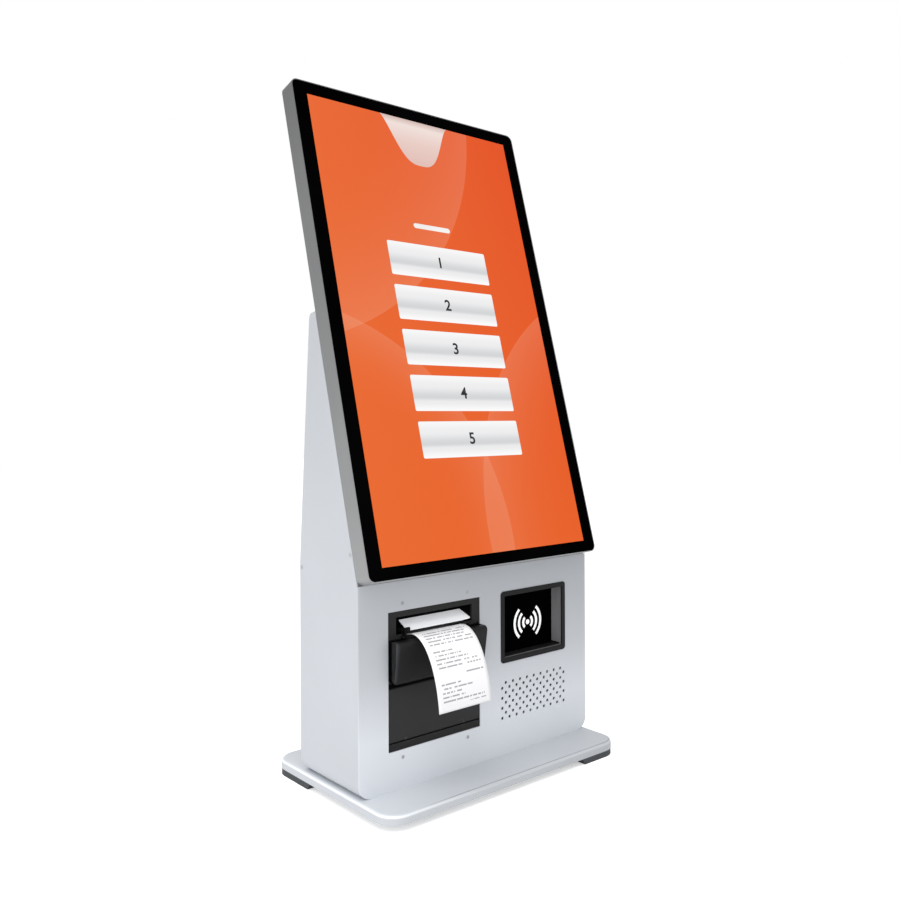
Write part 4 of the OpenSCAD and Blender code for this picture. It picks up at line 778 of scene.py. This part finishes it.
def makeButtons():
    tree = Tree("keyColumn", {"Count": buttons["count"], "Pitch": -buttons["pitch"],
                              "Width": buttons["size"][0], "Height": buttons["size"][1],
                              "Corner": buttons["corner"]})
    line = tree.add("GeometryNodeMeshLine", mode="OFFSET")
    tree.feed("Count", line.inputs["Count"])
    tree.join(tree.along("Y", tree.entry.outputs["Pitch"]), line.inputs["Offset"])
    outline = tree.add("GeometryNodeCurvePrimitiveQuadrilateral")
    for label in ("Width", "Height"):
        tree.feed(label, outline.inputs[label])
    corners = tree.add("GeometryNodeFilletCurve", mode="POLY")
    corners.inputs["Count"].default_value = buttons["cornerSteps"]
    tree.join(outline.outputs[0], corners.inputs["Curve"])
    tree.feed("Corner", corners.inputs["Radius"])
    face = tree.add("GeometryNodeFillCurve")
    tree.join(corners.outputs[0], face.inputs[0])
    column = tree.copies(line.outputs[0], face.outputs[0])
    keys = tree.finish(column.outputs[0], buttonFinish(), "screenKeys")
    keys.data.transform(Matrix.Translation((*buttons["topCentre"], 0)))
    layOnGlass(keys, 2)


makeButtons()


def flatText(words, size, weight, name, material):
    curve = bpy.data.curves.new(name, "FONT")
    curve.body, curve.size, curve.offset = words, size, weight
    curve.align_x, curve.align_y = "CENTER", "CENTER"
    curve.materials.append(material)
    maker = bpy.data.objects.new(name, curve)
    bpy.context.scene.collection.objects.link(maker)
    return baked(maker, name)


# plain numbers on the keys
def makeFigures():
    finish = litFinish("keyFigures")
    finish.glow(finish.drift(finish.noise(buttons["figureCloud"], detail=1), *buttons["figureTones"]))
    x, y = buttons["topCentre"]
    for i in range(buttons["count"]):
        figure = flatText(str(i + 1), buttons["figure"], buttons["figureWeight"],
                          "keyFigure%d" % (i + 1), finish.material)
        figure.data.transform(Matrix.Translation((x, y - i * buttons["pitch"], 0)))
        layOnGlass(figure, 3)


makeFigures()

tab = {
    "width": 116.0 * mm,
    "drop": 68.0 * mm,
    "steps": 48,
    "shoulder": 1.5,
    "belly": 0.8,
    "tones": ((0.0, (0.76, 0.52, 0.47)), (0.5, (0.82, 0.62, 0.57)), (0.86, (0.88, 0.75, 0.71)),
              (1.0, (0.64, 0.48, 0.44))),
}


# the pale tab that hangs from the picture's top edge; its outline sinks to its foot like a worn shield
def makeTab():
    finish = litFinish("paleTab")
    half, drop, steps, top = 0.5 * tab["width"], tab["drop"], tab["steps"], display["height"]
    finish.glow(finish.ramp(finish.rise(finish.up, top - drop, top), tab["tones"]))
    points = []
    for i in range(2 * steps + 1):
        t = i / steps - 1
        depth = (0.5 + 0.5 * math.cos(math.pi * abs(t) ** tab["shoulder"])) ** tab["belly"]
        points.append((-half * t, top - drop * depth, 0))
    face = tuple(reversed(range(len(points))))
    layOnGlass(meshObject("topTab", points, [face], finish.material), 2)


makeTab()


def roundedPlate(name, size, corner, material, steps):
    w, h = 0.5 * size[0] - corner, 0.5 * size[1] - corner
    points = []
    for cx, cy, start in ((w, h, 0), (-w, h, 90), (-w, -h, 180), (w, -h, 270)):
        for i in range(steps + 1):
            angle = math.radians(start + 90 * i / steps)
            points.append((cx + corner * math.cos(angle), cy + corner * math.sin(angle), 0))
    return meshObject(name, points, [tuple(range(len(points)))], material)


titleBar = {
    "size": (62.0 * mm, 7.0 * mm),
    "centre": (-2.0 * mm, 438.0 * mm),
    "corner": 3.5 * mm,
    "cornerSteps": 6,
    "cloud": 20,
    "tones": ((0.86, 0.84, 0.82), (0.93, 0.92, 0.90)),
}


def makeTitle():
    finish = litFinish("titleWhite")
    finish.glow(finish.drift(finish.noise(titleBar["cloud"], detail=1), *titleBar["tones"]))
    bar = roundedPlate("titleBar", titleBar["size"], titleBar["corner"], finish.material,
                       titleBar["cornerSteps"])
    bar.data.transform(Matrix.Translation((*titleBar["centre"], 0)))
    layOnGlass(bar, 2)


makeTitle()
print("picture on the glass")


# Wave sign on the reader window
waveSign = {
    "centre": (95.0 * mm, -48.65 * mm, 177.2 * mm),
    "arcs": 3,
    "firstRadius": 8.2 * mm,
    "step": 7.9 * mm,
    "stroke": 3.9 * mm,
    "halfAngle": 50.0,
    "arcSteps": 24,
    "dot": 3.3 * mm,
    "dotRound": 0.999,       # the corners' share of the dot: at 1 its straight sides would shrink to nothing
    "dotSteps": 10,
    "cloud": 200,
    "tones": ((0.90, 0.90, 0.90), (0.95, 0.95, 0.95)),
    "rough": 0.5,
    "glow": 0.25,
}


# the sign's white print, with a faint painted glow
def signFinish():
    finish = Finish("signWhite")
    finish.set({"Base Color": finish.drift(finish.noise(waveSign["cloud"]), *waveSign["tones"]),
                "Roughness": waveSign["rough"]})
    finish.glow(waveSign["tones"][1], waveSign["glow"])
    return finish.material


def makeWaveSign():
    white = signFinish()
    tree = Tree("waveArcs", {"Arcs": waveSign["arcs"], "First Radius": waveSign["firstRadius"],
                             "Step": waveSign["step"], "Stroke": waveSign["stroke"],
                             "Sweep": math.radians(2 * waveSign["halfAngle"])})
    line = tree.add("GeometryNodeMeshLine", mode="OFFSET")
    line.inputs["Offset"].default_value = (0, 0, 0)
    tree.feed("Arcs", line.inputs["Count"])
    sweep = tree.add("GeometryNodeCurveArc", mode="RADIUS")
    sweep.inputs["Resolution"].default_value = waveSign["arcSteps"]
    sweep.inputs["Radius"].default_value = 1.0
    tree.feed("Sweep", sweep.inputs["Sweep Angle"])
    tree.join(tree.scaled("Sweep", -0.5), sweep.inputs["Start Angle"])
    radius = tree.add("ShaderNodeMath", operation="MULTIPLY_ADD")
    tree.join(tree.add("GeometryNodeInputIndex").outputs[0], radius.inputs[0])
    tree.feed("Step", radius.inputs[1])
    tree.feed("First Radius", radius.inputs[2])
    copies = tree.copies(line.outputs[0], sweep.outputs[0])
    tree.join(tree.along("XYZ", radius.outputs[0]), copies.inputs["Scale"])
    real = tree.add("GeometryNodeRealizeInstances")
    tree.join(copies.outputs[0], real.inputs[0])
    width = tree.add("GeometryNodeCurvePrimitiveLine", mode="POINTS")
    for name, share in (("Start", -0.5), ("End", 0.5)):
        tree.join(tree.along("X", tree.scaled("Stroke", share)), width.inputs[name])
    stroke = tree.add("GeometryNodeCurveToMesh")
    tree.join(real.outputs[0], stroke.inputs["Curve"])
    tree.join(width.outputs[0], stroke.inputs["Profile Curve"])
    arcs = tree.finish(stroke.outputs[0], white, "waveArcs")
    facing = Matrix.Translation(waveSign["centre"]) @ Matrix.Rotation(math.radians(90), 4, "X")
    for side, name in ((0, "waveRight"), (180, "waveLeft")):
        piece = bpy.data.objects.new(name, arcs.data.copy())
        piece.data.name = name
        piece.data.transform(facing @ Matrix.Rotation(math.radians(side), 4, "Z"))
        settle(piece, "housing")
    radius, corner = waveSign["dot"], waveSign["dotRound"] * waveSign["dot"]
    dot = roundedPlate("waveDot", (2 * radius, 2 * radius), corner, white, waveSign["dotSteps"])
    dot.data.transform(facing)
    settle(dot, "housing")


makeWaveSign()
print("sign on the reader window")


# The printed receipt
receiptSheet = {
    "x": -77.5 * mm,
    "width": 79.5 * mm,
    "thick": 0.2 * mm,
    "platen": (-54.0 * mm, 185.0 * mm),
    "wrap": 8.15 * mm,
    "wrapAngles": (25.0, 90.0),
    "wrapSteps": 8,
    "handles": ((-61.0 * mm, 195.5 * mm), (-91.0 * mm, 209.0 * mm),
                (-117.0 * mm, 169.0 * mm), (-121.9 * mm, 116.0 * mm)),
    "steps": 60,
    "across": 16,
}
# how the sheet is printed: shares of its width, its length or one row's height
printing = {
    "rows": 28,
    "letters": 52,
    "rowInk": (0.36, 0.72),
    "emptyRows": 0.18,
    "emptyLetters": 0.24,
    "endSeed": 17.3,
    "leftStart": 0.1,
    "rightStart": 0.5,
    "rightRows": 0.78,
    "ends": (0.45, 0.93, 0.0, 0.45),
    "margins": (0.24, 0.95),
    "ink": 0.68,
    "inkTone": (0.12, 0.12, 0.14),
    # the sheet's painted shade, darker towards its lower end, then its faint painted glow
    "sheetShadeTones": ((0.20, (0.97, 0.97, 0.98)), (0.60, (0.90, 0.90, 0.92)), (1.0, (0.80, 0.80, 0.82))),
    "glow": 0.05,
    "rough": 0.6,
    "specular": 0.3,
    "grain": 1800,
    "bump": 0.1,
    "depth": 0.05 * mm,
}


# the sheet's side view: round the platen, then outwards and down along one Bezier curve
def receiptLine():
    py, pz = receiptSheet["platen"]
    wrap, turns = receiptSheet["wrap"], receiptSheet["wrapSteps"]
    first, last = (math.radians(angle) for angle in receiptSheet["wrapAngles"])
    line = []
    for i in range(turns + 1):
        angle = first + (last - first) * i / turns
        line.append((py + wrap * math.cos(angle), pz + wrap * math.sin(angle)))
    steps = receiptSheet["steps"]
    for i in range(steps + 1):
        t = i / steps
        shares = ((1 - t) ** 3, 3 * (1 - t) ** 2 * t, 3 * (1 - t) * t * t, t ** 3)
        line.append(tuple(sum(s * p[k] for s, p in zip(shares, receiptSheet["handles"])) for k in (0, 1)))
    return line


# white thermal paper with rows of grey dashes that read as small print from afar, painted darker towards its
# lower end as shade, with a faint painted glow where there is no ink
def paperFinish():
    finish = Finish("printedPaper")
    across, along, _ = finish.split(finish.add("ShaderNodeUVMap", uv_map="sheet").outputs[0])
    rows = finish.times(along, printing["rows"])
    row, inRow = finish.compute("FLOOR", rows), finish.compute("FRACT", rows)
    column = finish.compute("FLOOR", finish.times(across, printing["letters"]))
    rowEnd = finish.chance(finish.compute("ADD", row, printing["endSeed"]))
    start = finish.times(finish.above(rowEnd, printing["rightRows"]), printing["rightStart"])
    start = finish.compute("ADD", start, printing["leftStart"])
    ink = finish.times(
        finish.above(inRow, printing["rowInk"][0]), finish.below(inRow, printing["rowInk"][1]),
        finish.above(finish.chance(row), printing["emptyRows"]),
        finish.above(finish.chance(row, column), printing["emptyLetters"]),
        finish.above(across, start), finish.below(across, finish.between(rowEnd, *printing["ends"])),
        finish.above(along, printing["margins"][0]), finish.below(along, printing["margins"][1]),
        printing["ink"])
    # painted shade along the sheet
    sheet = finish.ramp(along, printing["sheetShadeTones"])
    finish.set({"Base Color": finish.mix(ink, sheet, printing["inkTone"]),
                "Roughness": printing["rough"], "Specular IOR Level": printing["specular"]})
    # a faint painted glow where there is no ink
    finish.glow(finish.mix(ink, (1.0, 1.0, 1.0), (0.0, 0.0, 0.0)), printing["glow"])
    finish.bump(finish.noise(printing["grain"]), printing["bump"], printing["depth"])
    return finish.material


# a closed strip: an inner and an outer layer of points, joined along the sides and at both ends
def makeReceipt():
    line = receiptLine()
    columns = receiptSheet["across"]
    lengths = [0.0]
    for p, q in zip(line, line[1:]):
        lengths.append(lengths[-1] + math.dist(p, q))
    points, faces, uvs = [], [], []
    for layer in (0, 1):
        for i, (y, z) in enumerate(line):
            before, after = line[max(0, i - 1)], line[min(len(line) - 1, i + 1)]
            step = Vector((after[0] - before[0], after[1] - before[1])).normalized()
            outward = Vector((step[1], -step[0])) * receiptSheet["thick"] * layer
            for k in range(columns + 1):
                x = receiptSheet["x"] + receiptSheet["width"] * (k / columns - 0.5)
                points.append((x, y + outward[0], z + outward[1]))
                uvs.append((k / columns, lengths[i] / lengths[-1]))
    size, end = len(line) * (columns + 1), len(line) - 1

    def at(layer, i, k):
        return layer * size + i * (columns + 1) + k

    for i in range(end):
        for k in range(columns):
            quad = [at(1, i, k), at(1, i + 1, k), at(1, i + 1, k + 1), at(1, i, k + 1)]
            faces.append(quad)
            faces.append([p - size for p in reversed(quad)])
        faces.append([at(0, i, 0), at(0, i + 1, 0), at(1, i + 1, 0), at(1, i, 0)])
        faces.append([at(1, i, columns), at(1, i + 1, columns),
                      at(0, i + 1, columns), at(0, i, columns)])
    for k in range(columns):
        faces.append([at(0, 0, k + 1), at(0, 0, k), at(1, 0, k), at(1, 0, k + 1)])
        faces.append([at(0, end, k), at(0, end, k + 1), at(1, end, k + 1), at(1, end, k)])
    sheet = meshObject("receiptSheet", points, faces, paperFinish())
    layerUv = sheet.data.uv_layers.new(name="sheet")
    for loop in sheet.data.loops:
        layerUv.data[loop.index].uv = uvs[loop.vertex_index]
    sheet.data.polygons.foreach_set("use_smooth", [True] * len(sheet.data.polygons))
    settle(sheet, "printer_door")
    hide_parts("receipt")


makeReceipt()
print("receipt printed")


# Stage: a pale floor and plain soft light
stage = {
    "halfFloor": 8.0,
    "cloud": 4,
    "tones": ((0.93, 0.93, 0.93), (0.95, 0.95, 0.95)),
    "rough": 0.9,
    "whiten": 0.42,          # what the camera sees added to the floor, and nothing else does
    "worldStrength": 0.80,
}


def makeStage():
    finish = Finish("paleFloor")
    finish.set({"Base Color": finish.drift(finish.noise(stage["cloud"], cloudDetail), *stage["tones"]),
                "Roughness": stage["rough"], "Specular IOR Level": 0.0})
    seen = finish.add("ShaderNodeLightPath").outputs["Is Camera Ray"]
    finish.glow((1.0, 1.0, 1.0), finish.between(seen, 0.0, stage["whiten"]))
    half = stage["halfFloor"]
    corners = [(-half, -half, 0), (half, -half, 0), (half, half, 0), (-half, half, 0)]
    floor = meshObject("paleFloor", corners, [(0, 1, 2, 3)], finish.material)
    bpy.context.scene.collection.objects.link(floor)


makeStage()


# a white sky for the camera and through glass, and a softer one for everything it lights
def makeWorld():
    world = bpy.data.worlds.new("softSky")
    bpy.context.scene.world = world
    world.use_nodes = True
    tree = world.node_tree
    background = tree.nodes["Background"]
    background.inputs["Color"].default_value = (1, 1, 1, 1)
    path = tree.nodes.new("ShaderNodeLightPath")
    direct = tree.nodes.new("ShaderNodeMath")
    direct.operation = "MAXIMUM"
    for ray, socket in zip(("Is Camera Ray", "Is Transmission Ray"), direct.inputs):
        tree.links.new(path.outputs[ray], socket)
    level = tree.nodes.new("ShaderNodeMapRange")
    level.inputs["To Min"].default_value = stage["worldStrength"]
    level.inputs["To Max"].default_value = 1.0
    tree.links.new(direct.outputs[0], level.inputs["Value"])
    tree.links.new(level.outputs["Result"], background.inputs["Strength"])


makeWorld()

lamps = {
    "topLamp": {"at": (-1.1, -0.8, 3.0), "size": 2.2, "power": 34, "aim": (0, 0, 0.2)},
    "leftLamp": {"at": (-2.5, -0.2, 0.55), "size": 1.7, "power": 13, "aim": (0, 0, 0.1)},
    "lowLamp": {"at": (-1.2, -2.4, 0.25), "size": 1.2, "power": 8, "aim": (0, 0, 0.08)},
}


def makeLamps():
    for name, lamp in lamps.items():
        data = bpy.data.lights.new(name, "AREA")
        data.shape, data.size, data.energy = "SQUARE", lamp["size"], lamp["power"]
        piece = bpy.data.objects.new(name, data)
        turn = (Vector(lamp["aim"]) - Vector(lamp["at"])).to_track_quat("-Z", "Y")
        piece.matrix_world = Matrix.Translation(lamp["at"]) @ turn.to_matrix().to_4x4()
        bpy.context.scene.collection.objects.link(piece)


makeLamps()
bpy.context.scene.view_settings.view_transform = "Standard"
print("stage lit")
